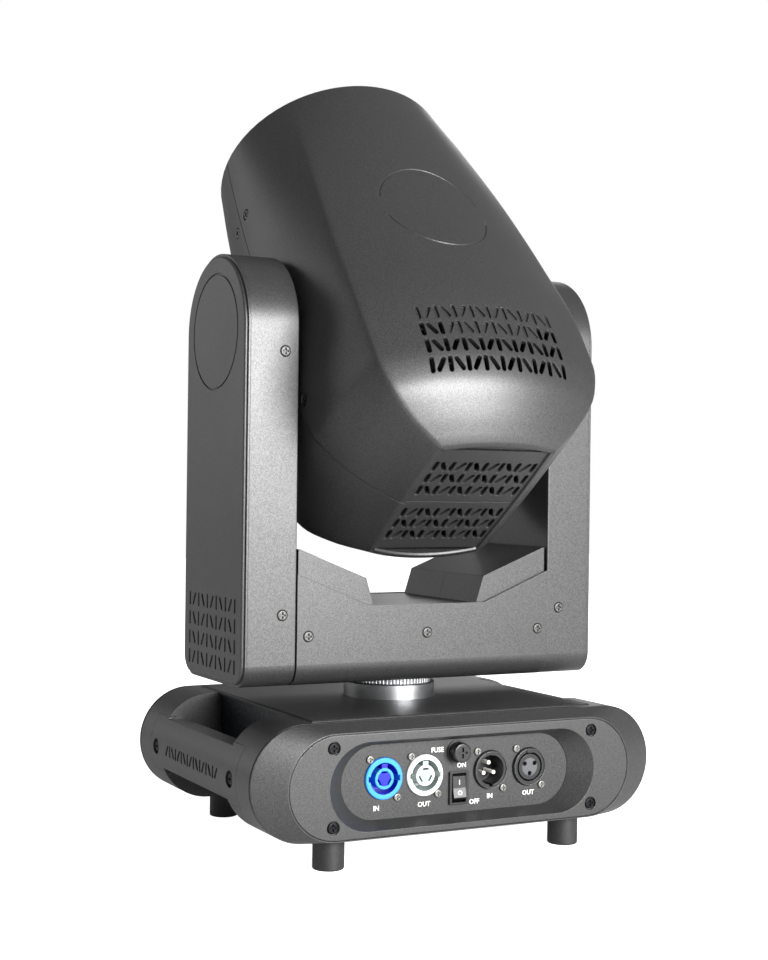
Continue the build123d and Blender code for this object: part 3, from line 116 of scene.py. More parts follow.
def grainedAbs():
    # flame-retardant ABS, spark-eroded mould: dense fine pits that scatter a broad grey sheen
    material, nodes, shader = startMaterial("grained_abs", "#3a3a3a", 0.5, 0.38)
    # the true grain is about 0.3 mm; drawn at 0.6 mm so that it shows
    place, noise = addGrain(nodes, shader, 0.6, 0.04, 0.32)
    varyRoughness(nodes, shader, place, 60.0, 0.34, 0.42)
    speckle(nodes, shader, noise.outputs["Fac"], "#303030", "#464646")
    return material


def powderCoatedSteel():
    # steel sheet, black powder coat: soft orange-peel ripple, even low gloss
    material, nodes, shader = startMaterial("powder_coated_steel", "#2f2f2f", 0.35, 0.45)
    place, noise = addGrain(nodes, shader, 1.3, 0.06, 0.3, 2.0)
    varyRoughness(nodes, shader, place, 45.0, 0.40, 0.50)
    speckle(nodes, shader, noise.outputs["Fac"], "#262626", "#373737")
    return material


def mouldedBlackNylon():
    # glass-filled black nylon, moulded: deep black with a slightly waxy gloss
    material, nodes, shader = startMaterial("black_nylon", "#101011", 0.0, 0.32)
    place, noise = addGrain(nodes, shader, 1.0, 0.02, 0.25)
    varyRoughness(nodes, shader, place, 12.0, 0.26, 0.40)
    speckle(nodes, shader, noise.outputs["Fac"], "#0b0b0c", "#18181a")
    return material


sockets = {
    "height": 33.8,
    "powerIn": -52.8,
    "powerOut": -24.2,
    "dataIn": 23.3,
    "dataOut": 52.1,
    "powerRing": 12.7,
    "dataInsert": 5.6,
    "wellDepth": 12.1,
    "caseScrewsFrom": 75.0,
    "trimRadius": 11.7,
    "trimTaper": 0.945,
    "trimWall": 0.7,
    "trimRound": 0.2,
    "trimProud": 1.85,
}
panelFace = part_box("connector_panel")[0].y


def fromSocket(nodes, place, socket):
    # distance of a point from the socket's axis
    centre = (-sockets[socket] * mm, 0, -sockets["height"] * mm)
    mapping = addNode(nodes, "ShaderNodeMapping", {"Location": centre, "Scale": (1, 0, 1)},
                      {"Vector": place.outputs["Object"]})
    return addNode(nodes, "ShaderNodeVectorMath", links={0: mapping.outputs[0]}, operation="LENGTH")


def socketNylon(name, socket, channelShadeColour, pale):
    # coloured moulded nylon, polished: pale on the faces of the rims, with painted shade as a deeper colour
    # down in the channels
    material, nodes, shader = startMaterial(name, pale, 0.0, 0.28)
    place = addGrain(nodes, shader, 2.0, 0.02, 0.15)[0]
    reach = fromSocket(nodes, place, socket)
    share = addNode(nodes, "ShaderNodeMath", {1: sockets["powerRing"] * mm}, {0: reach.outputs["Value"]},
                    operation="DIVIDE")
    ramp = addNode(nodes, "ShaderNodeValToRGB", links={"Fac": share.outputs[0]})
    ramp.color_ramp.interpolation = "CONSTANT"
    # rings round the socket's axis: the deeper colour is painted shade down in the channels, the pale colour
    # is on the rim faces
    stops = ((0.0, channelShadeColour), (0.36, pale), (0.51, channelShadeColour), (0.76, pale))
    ramp.color_ramp.elements[0].color = hexColour(channelShadeColour)
    ramp.color_ramp.elements.remove(ramp.color_ramp.elements[1])
    for position, colour in stops[1:]:
        ramp.color_ramp.elements.new(position).color = hexColour(colour)
    nodes.id_data.links.new(ramp.outputs["Color"], shader.inputs["Base Color"])
    return material


def dataSocketShell(name, socket, insertColour):
    # black-chromed zinc shell; inside it moulded black insulation and silver contacts
    material, nodes, shader = startMaterial(name, "#141416", 0.0, 0.3)
    place = addGrain(nodes, shader, 1.5, 0.015, 0.2)[0]
    reach = fromSocket(nodes, place, socket)
    inner = addNode(nodes, "ShaderNodeMath", {1: sockets["dataInsert"] * mm}, {0: reach.outputs["Value"]},
                    operation="LESS_THAN")
    depth = addNode(nodes, "ShaderNodeSeparateXYZ", links={"Vector": place.outputs["Object"]})
    proud = addNode(nodes, "ShaderNodeMath", {1: panelFace + sockets["wellDepth"] * mm},
                    {0: depth.outputs["Y"]}, operation="LESS_THAN")
    both = addNode(nodes, "ShaderNodeMath", links={0: inner.outputs[0], 1: proud.outputs[0]},
                   operation="MULTIPLY")
    colour = addNode(nodes, "ShaderNodeMix", {"A": hexColour("#141416"), "B": hexColour(insertColour)},
                     {"Factor": both.outputs[0]}, data_type="RGBA")
    nodes.id_data.links.new(colour.outputs["Result"], shader.inputs["Base Color"])
    return material


def mouldedRubber():
    # black nitrile rubber, moulded: dull, a little dusty on its skin
    material, nodes, shader = startMaterial("nitrile_rubber", "#131314", 0.0, 0.62)
    place, noise = addGrain(nodes, shader, 1.6, 0.04, 0.4)
    varyRoughness(nodes, shader, place, 20.0, 0.50, 0.72)
    speckle(nodes, shader, noise.outputs["Fac"], "#0e0e0f", "#1b1b1c")
    return material


def nickelPlatedSteel():
    # cold-headed steel screws, nickel plate gone dull: a soft grey shine with faint scuffs from the driver
    material, nodes, shader = startMaterial("nickel_plated_steel", "#4e4d4c", 0.9, 0.42)
    place, noise = addGrain(nodes, shader, 0.7, 0.02, 0.3)
    varyRoughness(nodes, shader, place, 3.0, 0.36, 0.5)
    speckle(nodes, shader, noise.outputs["Fac"], "#434342", "#5a5958")
    return material


def baseScrewSteel():
    # the socket screws are nickel plated; the case screws beyond them are black oxide with a worn shine
    material, nodes, shader = startMaterial("two_screw_finishes", "#7c7b78", 0.9, 0.4)
    place = addGrain(nodes, shader, 0.7, 0.02, 0.3)[0]
    across = addNode(nodes, "ShaderNodeSeparateXYZ", links={"Vector": place.outputs["Object"]})
    outwards = addNode(nodes, "ShaderNodeMath", links={0: across.outputs["X"]}, operation="ABSOLUTE")
    caseScrew = addNode(nodes, "ShaderNodeMath", {1: sockets["caseScrewsFrom"] * mm},
                        {0: outwards.outputs[0]}, operation="GREATER_THAN")
    colour = addNode(nodes, "ShaderNodeMix", {"A": hexColour("#7c7b78"), "B": hexColour("#1c1c1e")},
                     {"Factor": caseScrew.outputs[0]}, data_type="RGBA")
    nodes.id_data.links.new(colour.outputs["Result"], shader.inputs["Base Color"])
    varyRoughness(nodes, shader, place, 3.0, 0.34, 0.5)
    return material


def turnedAluminium():
    # aluminium turned on a lathe: fine rings round the pan axis that draw out the highlights
    material, nodes, shader = startMaterial("turned_aluminium", "#a6a7a9", 1.0, 0.36)
    place = addNode(nodes, "ShaderNodeTexCoord")
    # tool feed of 0.2 mm, drawn at 0.5 mm so that it shows
    rings = addNode(nodes, "ShaderNodeTexWave", {"Scale": perMetre(0.5) / (2 * math.pi), "Distortion": 0.4},
                    {"Vector": place.outputs["Object"]}, wave_type="RINGS", rings_direction="Z")
    bump = addNode(nodes, "ShaderNodeBump", {"Strength": 0.12, "Distance": 0.01 * mm},
                   {"Height": rings.outputs["Fac"]})
    nodes.id_data.links.new(bump.outputs["Normal"], shader.inputs["Normal"])
    varyRoughness(nodes, shader, place, 8.0, 0.32, 0.42)
    speckle(nodes, shader, rings.outputs["Fac"], "#9a9b9d", "#b2b3b5", 0.2, 0.8)
    return material


def extrudedAluminium():
    # mill-finish extrusion: straight die lines along the light axis and a dull satin
    material, nodes, shader = startMaterial("extruded_aluminium", "#a9abae", 1.0, 0.4)
    place, noise = addGrain(nodes, shader, 1.2, 0.03, 0.3, 2.0, (1, 0.08, 0.08))
    varyRoughness(nodes, shader, place, 15.0, 0.34, 0.48)
    speckle(nodes, shader, noise.outputs["Fac"], "#97999c", "#b9bbbe")
    return material


def galvanisedSheet():
    # zinc-coated sheet with a thin black passivation: dark satin with cloudy spangle
    material, nodes, shader = startMaterial("black_zinc_sheet", "#34363a", 0.85, 0.42)
    place, noise = addGrain(nodes, shader, 2.4, 0.02, 0.25, 2.0)
    varyRoughness(nodes, shader, place, 18.0, 0.34, 0.5)
    speckle(nodes, shader, noise.outputs["Fac"], "#2a2c30", "#44474c")
    return material


def displayAcrylic():
    # cast acrylic with a smoked back print: deep gloss over near-black
    material, nodes, shader = startMaterial("smoked_acrylic", "#07090d", 0.0, 0.06, **{"Coat Weight": 0.6})
    noise = addGrain(nodes, shader, 9.0, 0.01, 0.1)[1]
    speckle(nodes, shader, noise.outputs["Fac"], "#05070a", "#0a0e14")
    return material


def opticalGlass():
    # pressed optical glass, polished, with a faint blue anti-reflection coat
    settings = {"Transmission Weight": 1.0, "IOR": 1.5, "Coat Weight": 0.4}
    material, nodes, shader = startMaterial("optical_glass", "#eef4ff", 0.0, 0.03, **settings)
    place = addGrain(nodes, shader, 30.0, 0.01, 0.05)[0]
    varyRoughness(nodes, shader, place, 25.0, 0.015, 0.05)
    return material


def printedInk():
    # screen-printed white ink: flat white, slightly broken at its edges
    material, nodes, shader = startMaterial("white_ink", "#e9e9e6", 0.0, 0.55)
    noise = addGrain(nodes, shader, 0.6, 0.02, 0.3)[1]
    speckle(nodes, shader, noise.outputs["Fac"], "#dadad6", "#f2f2ef")
    return material


finishes = {
    "painted_case": powderCoatedSteel(),
    "moulded_case": grainedAbs(),
    "black_plastic": mouldedBlackNylon(),
    # each socket's first colour is painted shade for the channels of its face, the second is its pale rim
    # colour
    "blue_plastic": socketNylon("blue_nylon", "powerIn", "#0612b4", "#2f86e0"),
    "white_plastic": socketNylon("white_nylon", "powerOut", "#8d9a98", "#cfd4d3"),
    "rubber": mouldedRubber(),
    "zinc_screw": nickelPlatedSteel(),
    "turned_aluminium": turnedAluminium(),
    "sheet_steel": galvanisedSheet(),
    "bare_aluminium": extrudedAluminium(),
    "display_glass": displayAcrylic(),
    "lens_glass": opticalGlass(),
    "ink": printedInk(),
}
nodeFinishes = {
    "base_screws": baseScrewSteel(),
    "data_in_socket": dataSocketShell("male_data_socket", "dataIn", "#f4f2ea"),
    "data_out_socket": dataSocketShell("female_data_socket", "dataOut", "#4a4b4e"),
}


def dressNodes():
    for row in frame["record"]["subparts"]:
        node = frame["nodes"][row["node"]]
        finish = nodeFinishes.get(row["node"]) or finishes[row["material_slot"]]
        node.data.materials.clear()
        node.data.materials.append(finish)


dressNodes()
print("CAD nodes dressed")


def deselectAll():
    bpy.ops.object.select_all(action="DESELECT")


def makeActive(piece):
    deselectAll()
    piece.select_set(True)
    bpy.context.view_layer.objects.active = piece


def applyModifier(piece, kind, **settings):
    makeActive(piece)
    modifier = piece.modifiers.new("work", kind)
    for key, value in settings.items():
        setattr(modifier, key, value)
    bpy.ops.object.modifier_apply(modifier=modifier.name)


def settle(piece, matrix=None):
    # the piece's place goes into its mesh, so that its object stays at the origin
    if matrix is not None:
        piece.matrix_world = matrix
    makeActive(piece)
    bpy.ops.object.transform_apply(location=True, rotation=True, scale=True)


def joinPieces(pieces, name):
    deselectAll()
    for piece in pieces:
        piece.select_set(True)
    bpy.context.view_layer.objects.active = pieces[0]
    bpy.ops.object.join()
    pieces[0].name = name
    return pieces[0]


def finishPiece(piece, body, finish, smoothAngle=35.0):
    makeActive(piece)
    bpy.ops.object.shade_smooth_by_angle(angle=math.radians(smoothAngle))
    piece.data.materials.clear()
    piece.data.materials.append(finish)
    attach(piece, body)


head = {
    "tilt": math.radians(36.5),
    "axisHeight": 307.9,
    "wall": 2.5,
    "seamRise": 8.3,
    "seamGap": 0.25,
    "crownSteps": 32,
    "flankSteps": 16,
    "lengthSteps": 76,
    "softCorner": 1.8,
    "creaseEnd": 122.0,
    "rimChamfer": 1.2,
    "rimRise": 0.84,
    "panelInset": 3.0,
    "panelStep": 0.8,
    "panelSink": 1.2,
    "slotWidth": 3.1,
    "slotLength": 9.8,
    "slotPitch": 5.8,
    "slotLean": math.radians(30),
    "slotDeep": 20.0,
    "blindDepth": 1.3,
    "openLift": -2.0,
    "topColumns": 17,
    "rearColumns": 13,
    "rearRises": (35.7, 23.7, 11.7, -11.7, -23.7, -35.7),
    "trunnionHole": 18.4,
    "screwSeat": 3.9,
    "screwSeatLength": 8.0,
    "screwRise": 9.0,
    "screwStations": ((99.0, 86.0), (-66.0, 88.0)),
    "markRadius": 37.0,
    "markPlace": 35.0,
    "markWire": 0.65,
    "markStarts": (14, 194),
    "markSweep": 152,
    "markSteps": 40,
}
# along the light axis, lean that the row starts with, columns that are only pressed in, not cut through
topRows = ((-62.8, 2, range(17)), (-75.0, 0, range(3, 14)), (-87.3, 0, ()), (-99.6, 2, ()))
# along the light axis, corner x, corner height, crown, flank, lower corner, underside
headStations = (
    (161.0, 58.7, 58.7, 83.0, 83.0, 58.7, 83.0),
    (127.0, 62.2, 66.4, 86.0, 86.2, 62.0, 84.5),
    (55.0, 71.0, 76.4, 91.0, 89.8, 66.0, 85.5),
    (-4.0, 76.0, 82.0, 96.5, 91.0, 68.5, 86.0),
    (-54.0, 78.4, 86.0, 101.0, 91.0, 70.0, 86.0),
    (-87.0, 77.8, 85.1, 99.5, 87.5, 68.5, 83.0),
    (-107.0, 73.0, 81.0, 94.0, 77.0, 64.0, 77.5),
    (-125.0, 59.4, 72.0, 82.0, 61.0, 55.0, 66.0),
    (-138.5, 42.0, 64.5, 70.0, 43.5, 46.0, 54.0),
)
leanSin, leanCos = math.sin(head["tilt"]), math.cos(head["tilt"])


def headPoint(x, v, w):
    # x across, v towards the top face, w along the light axis, all in millimetres
    y = leanSin * w - leanCos * v
    z = head["axisHeight"] + leanCos * w + leanSin * v
    return Vector((x, y, z)) * mm


# columns are the head's x, v and w directions
headTurn = Matrix(((1, 0, 0), (0, -leanCos, leanSin), (0, leanSin, leanCos)))


def slopeBetween(a, b, index):
    return (b[index] - a[index]) / (b[0] - a[0])


def stationSlope(number, index):
    # slope at a station that never overshoots its neighbours
    if number in (0, len(headStations) - 1):
        first = min(number, len(headStations) - 2)
        return slopeBetween(headStations[first], headStations[first + 1], index)
    before = slopeBetween(headStations[number - 1], headStations[number], index)
    after = slopeBetween(headStations[number], headStations[number + 1], index)
    if before * after <= 0:
        return 0.0
    return 2 * before * after / (before + after)


def sectionAt(w):
    number = 0
    while number < len(headStations) - 2 and w < headStations[number + 1][0]:
        number += 1
    here, there = headStations[number], headStations[number + 1]
    span = there[0] - here[0]
    t = (w - here[0]) / span
    values = []
    for index in range(1, 7):
        slopeHere, slopeThere = stationSlope(number, index) * span, stationSlope(number + 1, index) * span
        values.append(
            (2 * t**3 - 3 * t**2 + 1) * here[index]
            + (t**3 - 2 * t**2 + t) * slopeHere
            + (3 * t**2 - 2 * t**3) * there[index]
            + (t**3 - t**2) * slopeThere
        )
    return values


def arcPoint(start, middle, end, share):
    # point on the clockwise arc through three points
    (ax, ay), (bx, by), (cx, cy) = start, middle, end
    d = 2 * (ax * (by - cy) + bx * (cy - ay) + cx * (ay - by))
    a, b, c = ax * ax + ay * ay, bx * bx + by * by, cx * cx + cy * cy
    ux = (a * (by - cy) + b * (cy - ay) + c * (ay - by)) / d
    uy = (a * (cx - bx) + b * (ax - cx) + c * (bx - ax)) / d
    first, last = math.atan2(ay - uy, ax - ux), math.atan2(cy - uy, cx - ux)
    angle = first - ((first - last) % (2 * math.pi)) * share
    radius = math.hypot(ax - ux, ay - uy)
    return ux + radius * math.cos(angle), uy + radius * math.sin(angle)


def skinPoint(step, w):
    # step counts round the section from the upper left corner, clockwise from the front
    cornerX, cornerTop, crown, flank, cornerLow, under = sectionAt(w)
    waist = (cornerTop - cornerLow) / 2
    corners = ((-cornerX, cornerTop), (cornerX, cornerTop), (cornerX, -cornerLow), (-cornerX, -cornerLow))
    bulges = ((0, crown), (flank, waist), (0, -under), (-flank, waist))
    step %= 2 * (head["crownSteps"] + head["flankSteps"])
    for side in range(4):
        steps = head["flankSteps"] if side % 2 else head["crownSteps"]
        if step < steps:
            break
        step -= steps
    x, v = arcPoint(corners[side], bulges[side], corners[(side + 1) % 4], step / steps)
    return headPoint(x, v, w)


def crownHeight(x, w):
    cornerX, cornerTop, crown = sectionAt(w)[:3]
    rise = crown - cornerTop
    radius = (cornerX**2 + rise**2) / (2 * rise)
    return crown - radius + math.sqrt(radius**2 - x**2)


def rollSkin():
    # a flat grid is rolled round the light axis and its two long edges are merged
    around = 2 * (head["crownSteps"] + head["flankSteps"])
    along = head["lengthSteps"]
    front, rear = headStations[0][0], headStations[-1][0]
    bpy.ops.mesh.primitive_grid_add(x_subdivisions=around, y_subdivisions=along, size=2)
    skin = bpy.context.object
    for vertex in skin.data.vertices:
        step = round((vertex.co.x + 1) / 2 * around)
        share = (vertex.co.y + 1) / 2
        vertex.co = skinPoint(step, front + (rear - front) * share)
    bpy.ops.object.mode_set(mode="EDIT")
    bpy.ops.mesh.select_all(action="SELECT")
    bpy.ops.mesh.remove_doubles(threshold=0.05 * mm)
    bpy.ops.mesh.normals_make_consistent(inside=False)
    bpy.ops.object.mode_set(mode="OBJECT")
    softenCreases(skin)
    closeRear(skin, rear)
    return skin


def selectEdges(skin, wanted):
    bpy.ops.object.mode_set(mode="EDIT")
    bpy.ops.mesh.select_mode(type="EDGE")
    bpy.ops.mesh.select_all(action="DESELECT")
    bpy.ops.object.mode_set(mode="OBJECT")
    for edge in skin.data.edges:
        edge.select = all(wanted(skin.data.vertices[index].co) for index in edge.vertices)
    bpy.ops.object.mode_set(mode="EDIT")


def softenCreases(skin):
    # the four long creases get a small round, all but at the circular mouth
    def onCrease(point):
        local = headTurn.transposed() @ (point - headPoint(0, 0, 0)) / mm
        if local.z > head["creaseEnd"]:
            return False
        cornerX, cornerTop, _, _, cornerLow, _ = sectionAt(local.z)
        height = cornerTop if local.y > 0 else cornerLow
        return abs(abs(local.x) - cornerX) < 0.05 and abs(abs(local.y) - height) < 0.05

    selectEdges(skin, onCrease)
    bpy.ops.mesh.bevel(offset=head["softCorner"] * mm, segments=3, affect="EDGES")
    bpy.ops.object.mode_set(mode="OBJECT")


def closeRear(skin, rear):
    # the rear is closed flat, its rim chamfered and its vented panel let in
    axis = headTurn.col[2]
    selectEdges(skin, lambda point: abs((point - headPoint(0, 0, rear)).dot(axis)) < 0.05 * mm)
    bpy.ops.mesh.edge_face_add()
    bpy.ops.mesh.select_mode(type="FACE")
    bpy.ops.mesh.normals_make_consistent(inside=False)
    bpy.ops.mesh.inset(thickness=head["rimChamfer"] * mm, depth=0, use_even_offset=False)
    bpy.ops.transform.translate(value=-axis * head["rimRise"] * mm)
    bpy.ops.mesh.inset(thickness=head["panelInset"] * mm, depth=0, use_even_offset=False)
    bpy.ops.mesh.inset(thickness=head["panelStep"] * mm, depth=0, use_even_offset=False)
    bpy.ops.transform.translate(value=axis * head["panelSink"] * mm)
    bpy.ops.mesh.select_all(action="SELECT")
    bpy.ops.mesh.normals_make_consistent(inside=False)
    bpy.ops.object.mode_set(mode="OBJECT")


def cutAtSeam(skin, name, upper):
    cover = skin.copy()
    cover.data = skin.data.copy()
    cover.name = name
    bpy.context.scene.collection.objects.link(cover)
    front, rear = headStations[0][0], headStations[-1][0]
    along = headPoint(0, head["seamRise"], rear) - headPoint(0, 0, front)
    normal = along.cross(Vector((1, 0, 0))).normalized()
    if normal.dot(headTurn.col[1]) < 0:
        normal.negate()
    shift = normal * head["seamGap"] * mm * (1 if upper else -1)
    makeActive(cover)
    bpy.ops.object.mode_set(mode="EDIT")
    bpy.ops.mesh.select_all(action="SELECT")
    bpy.ops.mesh.bisect(plane_co=headPoint(0, 0, front) + shift, plane_no=normal,
                        clear_inner=upper, clear_outer=not upper, use_fill=False)
    bpy.ops.object.mode_set(mode="OBJECT")
    applyModifier(cover, "SOLIDIFY", thickness=head["wall"] * mm, offset=-1, use_rim=True)
    return cover


def placedCopy(source, spot, turn):
    piece = source.copy()
    piece.data = source.data.copy()
    bpy.context.scene.collection.objects.link(piece)
    piece.data.transform(Matrix.Translation(spot) @ turn.to_4x4())
    return piece


def slotCutter():
    # a short cylinder whose halves are pulled apart into a round-ended bar along y
    radius = head["slotWidth"] / 2 * mm
    stretch = (head["slotLength"] - head["slotWidth"]) / 2 * mm
    bpy.ops.mesh.primitive_cylinder_add(vertices=16, radius=radius, depth=head["slotDeep"] * mm)
    cutter = bpy.context.object
    for vertex in cutter.data.vertices:
        if abs(vertex.co.y) > 0.01 * mm:
            vertex.co.y += math.copysign(stretch, vertex.co.y)
    return cutter


def slotLean(column, first):
    return {0: 0.0, 1: head["slotLean"], 2: 0.0, 3: -head["slotLean"]}[(column + first) % 4]


def topSlots(source):
    # the cutter's long side y lies along the light axis and its depth z points out of the top
    base = Matrix((headTurn.col[0], headTurn.col[2], headTurn.col[1])).transposed()
    cutters = []
    middle = (head["topColumns"] - 1) / 2
    for w, first, blind in topRows:
        for column in range(head["topColumns"]):
            x = (column - middle) * head["slotPitch"]
            lift = head["slotDeep"] / 2 - head["blindDepth"] if column in blind else head["openLift"]
            spot = headPoint(x, crownHeight(x, w) + lift, w)
            cutters.append(placedCopy(source, spot, base @ Matrix.Rotation(slotLean(column, first), 3, "Z")))
    return cutters


def rearSlots(source):
    # here the long side y points to the top face and the depth runs along the light axis
    cutters = []
    middle = (head["rearColumns"] - 1) / 2
    for row, rise in enumerate(head["rearRises"]):
        first = 2 * (row % 2)
        for column in range(head["rearColumns"]):
            x = (column - middle) * head["slotPitch"]
            spot = headPoint(x, head["seamRise"] + rise, headStations[-1][0])
            lean = Matrix.Rotation(slotLean(column, first), 3, "Z")
            cutters.append(placedCopy(source, spot, headTurn @ lean))
    return cutters


def sideCutters():
    # the trunnion hole and the sunk seats of the cover screws
    cutters = []
    sideways = Matrix.Rotation(math.pi / 2, 3, "Y")
    bpy.ops.mesh.primitive_cylinder_add(vertices=64, radius=head["trunnionHole"] * mm, depth=210 * mm)
    hole = bpy.context.object
    hole.data.transform(Matrix.Translation(headPoint(0, 0, 0)) @ sideways.to_4x4())
    cutters.append(hole)
    seatLength = head["screwSeatLength"]
    bpy.ops.mesh.primitive_cylinder_add(vertices=32, radius=head["screwSeat"] * mm, depth=seatLength * mm)
    seat = bpy.context.object
    length = headStations[0][0] - headStations[-1][0]
    for w, reach in head["screwStations"]:
        seam = head["seamRise"] * (headStations[0][0] - w) / length
        for side in (-1, 1):
            for rise in (-head["screwRise"], head["screwRise"]):
                spot = headPoint(side * (reach + seatLength / 2), seam + rise, w)
                cutters.append(placedCopy(seat, spot, sideways))
    bpy.data.objects.remove(seat)
    return cutters


def ringMark():
    # two thin arcs that follow the crowned top face, open at the left and the right
    arcs = []
    steps = head["markSteps"]
    for start in head["markStarts"]:
        curve = bpy.data.curves.new("mark", "CURVE")
        curve.dimensions = "3D"
        curve.bevel_depth = head["markWire"] * mm
        curve.bevel_resolution = 2
        curve.use_fill_caps = True
        spline = curve.splines.new("POLY")
        spline.points.add(steps)
        for number, point in enumerate(spline.points):
            turn = math.radians(start + head["markSweep"] * number / steps)
            x = head["markRadius"] * math.cos(turn)
            w = head["markPlace"] + head["markRadius"] * math.sin(turn)
            point.co = (*headPoint(x, crownHeight(x, w) + 0.1, w), 1)
        arc = bpy.data.objects.new("mark", curve)
        bpy.context.scene.collection.objects.link(arc)
        makeActive(arc)
        bpy.ops.object.convert(target="MESH")
        arcs.append(bpy.context.object)
    return arcs


def makeHeadCovers():
    skin = rollSkin()
    source = slotCutter()
    cutter = joinPieces(topSlots(source) + rearSlots(source) + sideCutters() + ringMark(), "cutter")
    makeActive(cutter)
    bpy.ops.object.mode_set(mode="EDIT")
    bpy.ops.mesh.select_all(action="SELECT")
    bpy.ops.mesh.normals_make_consistent(inside=False)
    bpy.ops.object.mode_set(mode="OBJECT")
    for name, node, upper in (("top_cover", "head_cover_top", True),
                              ("bottom_cover", "head_cover_bottom", False)):
        cover = cutAtSeam(skin, name, upper)
        applyModifier(cover, "BOOLEAN", operation="DIFFERENCE", solver="EXACT", object=cutter)
        finishPiece(cover, "head", finishes["moulded_case"])
        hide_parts(node)
        print(name, "faces", len(cover.data.polygons))
    for helper in (skin, source, cutter):
        bpy.data.objects.remove(helper)


deselectAll()
makeHeadCovers()
print("head covers made")


labels = {
    "size": 4.2,
    "ink": 0.04,
    "spread": 0.09,
    "lift": 0.05,
    "words": (("IN", -57.5, 15.8), ("OUT", -24.2, 15.8), ("FUSE", -15.0, 48.5), ("ON", 2.5, 38.0),
              ("OFF", 12.0, 14.6), ("IN", 23.3, 17.2), ("OUT", 52.1, 17.2)),
}


def flatText(words, size, spot, turn):
    curve = bpy.data.curves.new("words", "FONT")
    curve.body = words
    curve.size = size * mm
    curve.align_x = "CENTER"
    curve.align_y = "CENTER"
    curve.extrude = labels["ink"] * mm
    curve.offset = labels["spread"] * mm
    curve.resolution_u = 2
    label = bpy.data.objects.new("words", curve)
    bpy.context.scene.collection.objects.link(label)
    makeActive(label)
    bpy.ops.object.convert(target="MESH")
    label = bpy.context.object
    settle(label, Matrix.Translation(spot) @ turn)
    return label


def panelLabels():
    # plain words by the sockets, facing the front
    upright = Matrix.Rotation(math.pi / 2, 4, "X")
    face = panelFace - labels["lift"] * mm
    words = [flatText(text, labels["size"], Vector((x * mm, face, z * mm)), upright)
             for text, x, z in labels["words"]]
    piece = joinPieces(words, "panel_labels")
    finishPiece(piece, "base", finishes["ink"])


rocker = {
    "pivotDepth": 3.0,
    "pivotHeight": 24.3,
    "markSize": 4.0,
    "marks": (("I", -4.93, 3.4, 3.0), ("O", -5.80, -3.0, 13.0)),
}


def rockerMarks():
    # a bar and a ring on the two faces of the rocker: out from its pivot, up from it, lean of the face
    pivot = Vector((0, panelFace + rocker["pivotDepth"] * mm, rocker["pivotHeight"] * mm))
    marks = []
    for text, y, z, lean in rocker["marks"]:
        turn = Matrix.Rotation(math.pi / 2 - math.radians(lean), 4, "X")
        marks.append(flatText(text, rocker["markSize"], pivot + Vector((0, y * mm, z * mm)), turn))
    piece = joinPieces(marks, "rocker_marks")
    finishPiece(piece, "rocker", finishes["ink"])


def socketTrim(socket, name):
    # thin metal rim pressed round a data socket
    bpy.ops.mesh.primitive_circle_add(vertices=72, radius=sockets["trimRadius"] * mm, fill_type="NOTHING")
    ring = bpy.context.object
    ring.name = name
    bpy.ops.object.mode_set(mode="EDIT")
    bpy.ops.mesh.select_all(action="SELECT")
    bpy.ops.mesh.extrude_edges_move()
    bpy.ops.transform.resize(value=(sockets["trimTaper"], sockets["trimTaper"], 1))
    bpy.ops.mesh.select_all(action="SELECT")
    bpy.ops.mesh.normals_make_consistent(inside=False)
    bpy.ops.object.mode_set(mode="OBJECT")
    applyModifier(ring, "SOLIDIFY", thickness=sockets["trimWall"] * mm, offset=0)
    applyModifier(ring, "BEVEL", width=sockets["trimRound"] * mm, segments=2, limit_method="ANGLE")
    spot = Vector((sockets[socket] * mm, panelFace - sockets["trimProud"] * mm, sockets["height"] * mm))
    settle(ring, Matrix.Translation(spot) @ Matrix.Rotation(math.pi / 2, 4, "X"))
    finishPiece(ring, "base", finishes["zinc_screw"])


signs = {
    "sides": {"menu": 4, "down": 3, "up": 3, "enter": 6},
    "radius": 2.0,
    "line": 0.45,
    "ink": 0.08,
    "lift": 0.05,
    "rise": 5.0,
}


def keySigns():
    # signs above the menu keys: a square, a triangle each way and a hexagon
    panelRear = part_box("display_panel")[1].y
    outlines = []
    for key, sides in signs["sides"].items():
        low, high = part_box("button_" + key)
        bpy.ops.mesh.primitive_circle_add(vertices=sides, radius=signs["radius"] * mm, fill_type="NGON")
        sign = bpy.context.object
        bpy.ops.object.mode_set(mode="EDIT")
        bpy.ops.mesh.select_all(action="SELECT")
        bpy.ops.mesh.inset(thickness=signs["line"] * mm, depth=0)
        bpy.ops.mesh.delete(type="FACE")
        bpy.ops.object.mode_set(mode="OBJECT")
        applyModifier(sign, "SOLIDIFY", thickness=signs["ink"] * mm, offset=0)
        spot = Vector(((low.x + high.x) / 2, panelRear + signs["lift"] * mm, high.z + signs["rise"] * mm))
        spin = Matrix.Rotation(math.pi if key == "down" else 0, 4, "Z")
        settle(sign, Matrix.Translation(spot) @ Matrix.Rotation(math.pi / 2, 4, "X") @ spin)
        outlines.append(sign)
    piece = joinPieces(outlines, "key_signs")
    finishPiece(piece, "base", finishes["ink"])


panelLabels()
rockerMarks()
socketTrim("dataIn", "data_in_trim")
socketTrim("dataOut", "data_out_trim")
keySigns()
print("panel pieces made")


stage = {
    "floorSize": 7,
    "floorGlow": 0.12,
    "roomGlow": 0.28,
    "lightsAimAt": (0, 0, 0.22),
}
# azimuth, elevation, distance, width and height in metres, watts
lights = {
    "keyLight": (13, 11, 2.0, (1.1, 0.8), 113),
    "sideLight": (-138, 13, 2.2, (1.4, 1.2), 7),
    "rimLight": (140, 20, 2.4, (1.0, 1.0), 6),
}


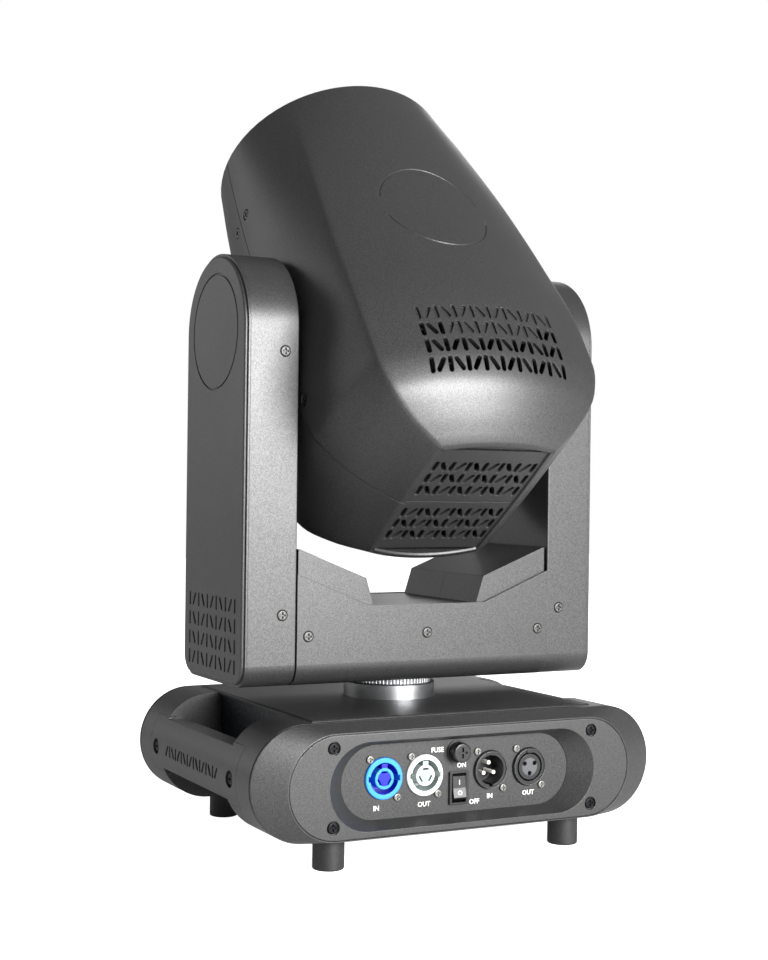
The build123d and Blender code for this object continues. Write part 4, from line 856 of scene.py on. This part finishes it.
def makeFloor():
    bpy.ops.mesh.primitive_plane_add(size=stage["floorSize"])
    floor = bpy.context.object
    floor.name = "floor"
    floor.location.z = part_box("rubber_feet")[0].z
    material, nodes, shader = startMaterial(
        "matt_paper", "#f4f4f3", 0.0, 0.95, **{"Emission Color": hexColour("#ffffff")})
    # white where it is seen, but it throws little light up
    seen = addNode(nodes, "ShaderNodeLightPath")
    glow = addNode(nodes, "ShaderNodeMapRange", {"To Min": stage["floorGlow"], "To Max": 1.0},
                   {"Value": seen.outputs["Is Camera Ray"]})
    nodes.id_data.links.new(glow.outputs["Result"], shader.inputs["Emission Strength"])
    addGrain(nodes, shader, 3.0, 0.02, 0.1)
    floor.data.materials.append(material)


def addSoftLight(name, azimuth, elevation, distance, size, power):
    # azimuth 0 is straight in front of the sockets, positive to the right
    turn, rise = math.radians(azimuth), math.radians(elevation)
    data = bpy.data.lights.new(name, "AREA")
    data.shape = "RECTANGLE"
    data.size, data.size_y = size
    data.energy = power
    light = bpy.data.objects.new(name, data)
    bpy.context.scene.collection.objects.link(light)
    aim = Vector(stage["lightsAimAt"])
    away = Vector((math.sin(turn) * math.cos(rise), -math.cos(turn) * math.cos(rise), math.sin(rise)))
    light.location = aim + away * distance
    light.rotation_euler = away.to_track_quat("Z", "Y").to_euler()


def makeLights():
    for name, values in lights.items():
        addSoftLight(name, *values)
    # a white room: bright where it is seen, dim as a light
    world = bpy.data.worlds.new("studio")
    world.use_nodes = True
    nodes = world.node_tree.nodes
    nodes.clear()
    seen = addNode(nodes, "ShaderNodeLightPath")
    strength = addNode(nodes, "ShaderNodeMapRange", {"To Min": stage["roomGlow"], "To Max": 1.0},
                       {"Value": seen.outputs["Is Camera Ray"]})
    background = addNode(nodes, "ShaderNodeBackground", {"Color": hexColour("#ffffff")},
                         {"Strength": strength.outputs["Result"]})
    addNode(nodes, "ShaderNodeOutputWorld", links={"Surface": background.outputs["Background"]})
    bpy.context.scene.world = world
    bpy.context.scene.view_settings.view_transform = "Standard"


camera = {
    "place": (-502.4, -917.98, 211.88),
    "yaw": -26.574,
    "pitch": -0.149,
    "roll": 0.719,
    "lens": 58.16,
    "shift": 0.052,
}


def makeCamera():
    yaw, pitch, roll = (math.radians(camera[key]) for key in ("yaw", "pitch", "roll"))
    ahead = Vector((-math.sin(yaw) * math.cos(pitch), math.cos(yaw) * math.cos(pitch), -math.sin(pitch)))
    level = ahead.cross(Vector((0, 0, 1))).normalized()
    upright = level.cross(ahead)
    right = math.cos(roll) * level + math.sin(roll) * upright
    up = -math.sin(roll) * level + math.cos(roll) * upright
    data = bpy.data.cameras.new("camera")
    data.lens = camera["lens"]
    data.shift_x = camera["shift"]
    data.clip_end = 50
    view = bpy.data.objects.new("camera", data)
    bpy.context.scene.collection.objects.link(view)
    turn = Matrix((right, up, -ahead)).transposed()
    view.matrix_world = Matrix.Translation(Vector(camera["place"]) * mm) @ turn.to_4x4()
    bpy.context.scene.camera = view


makeFloor()
makeLights()
makeCamera()
print("stage ready")
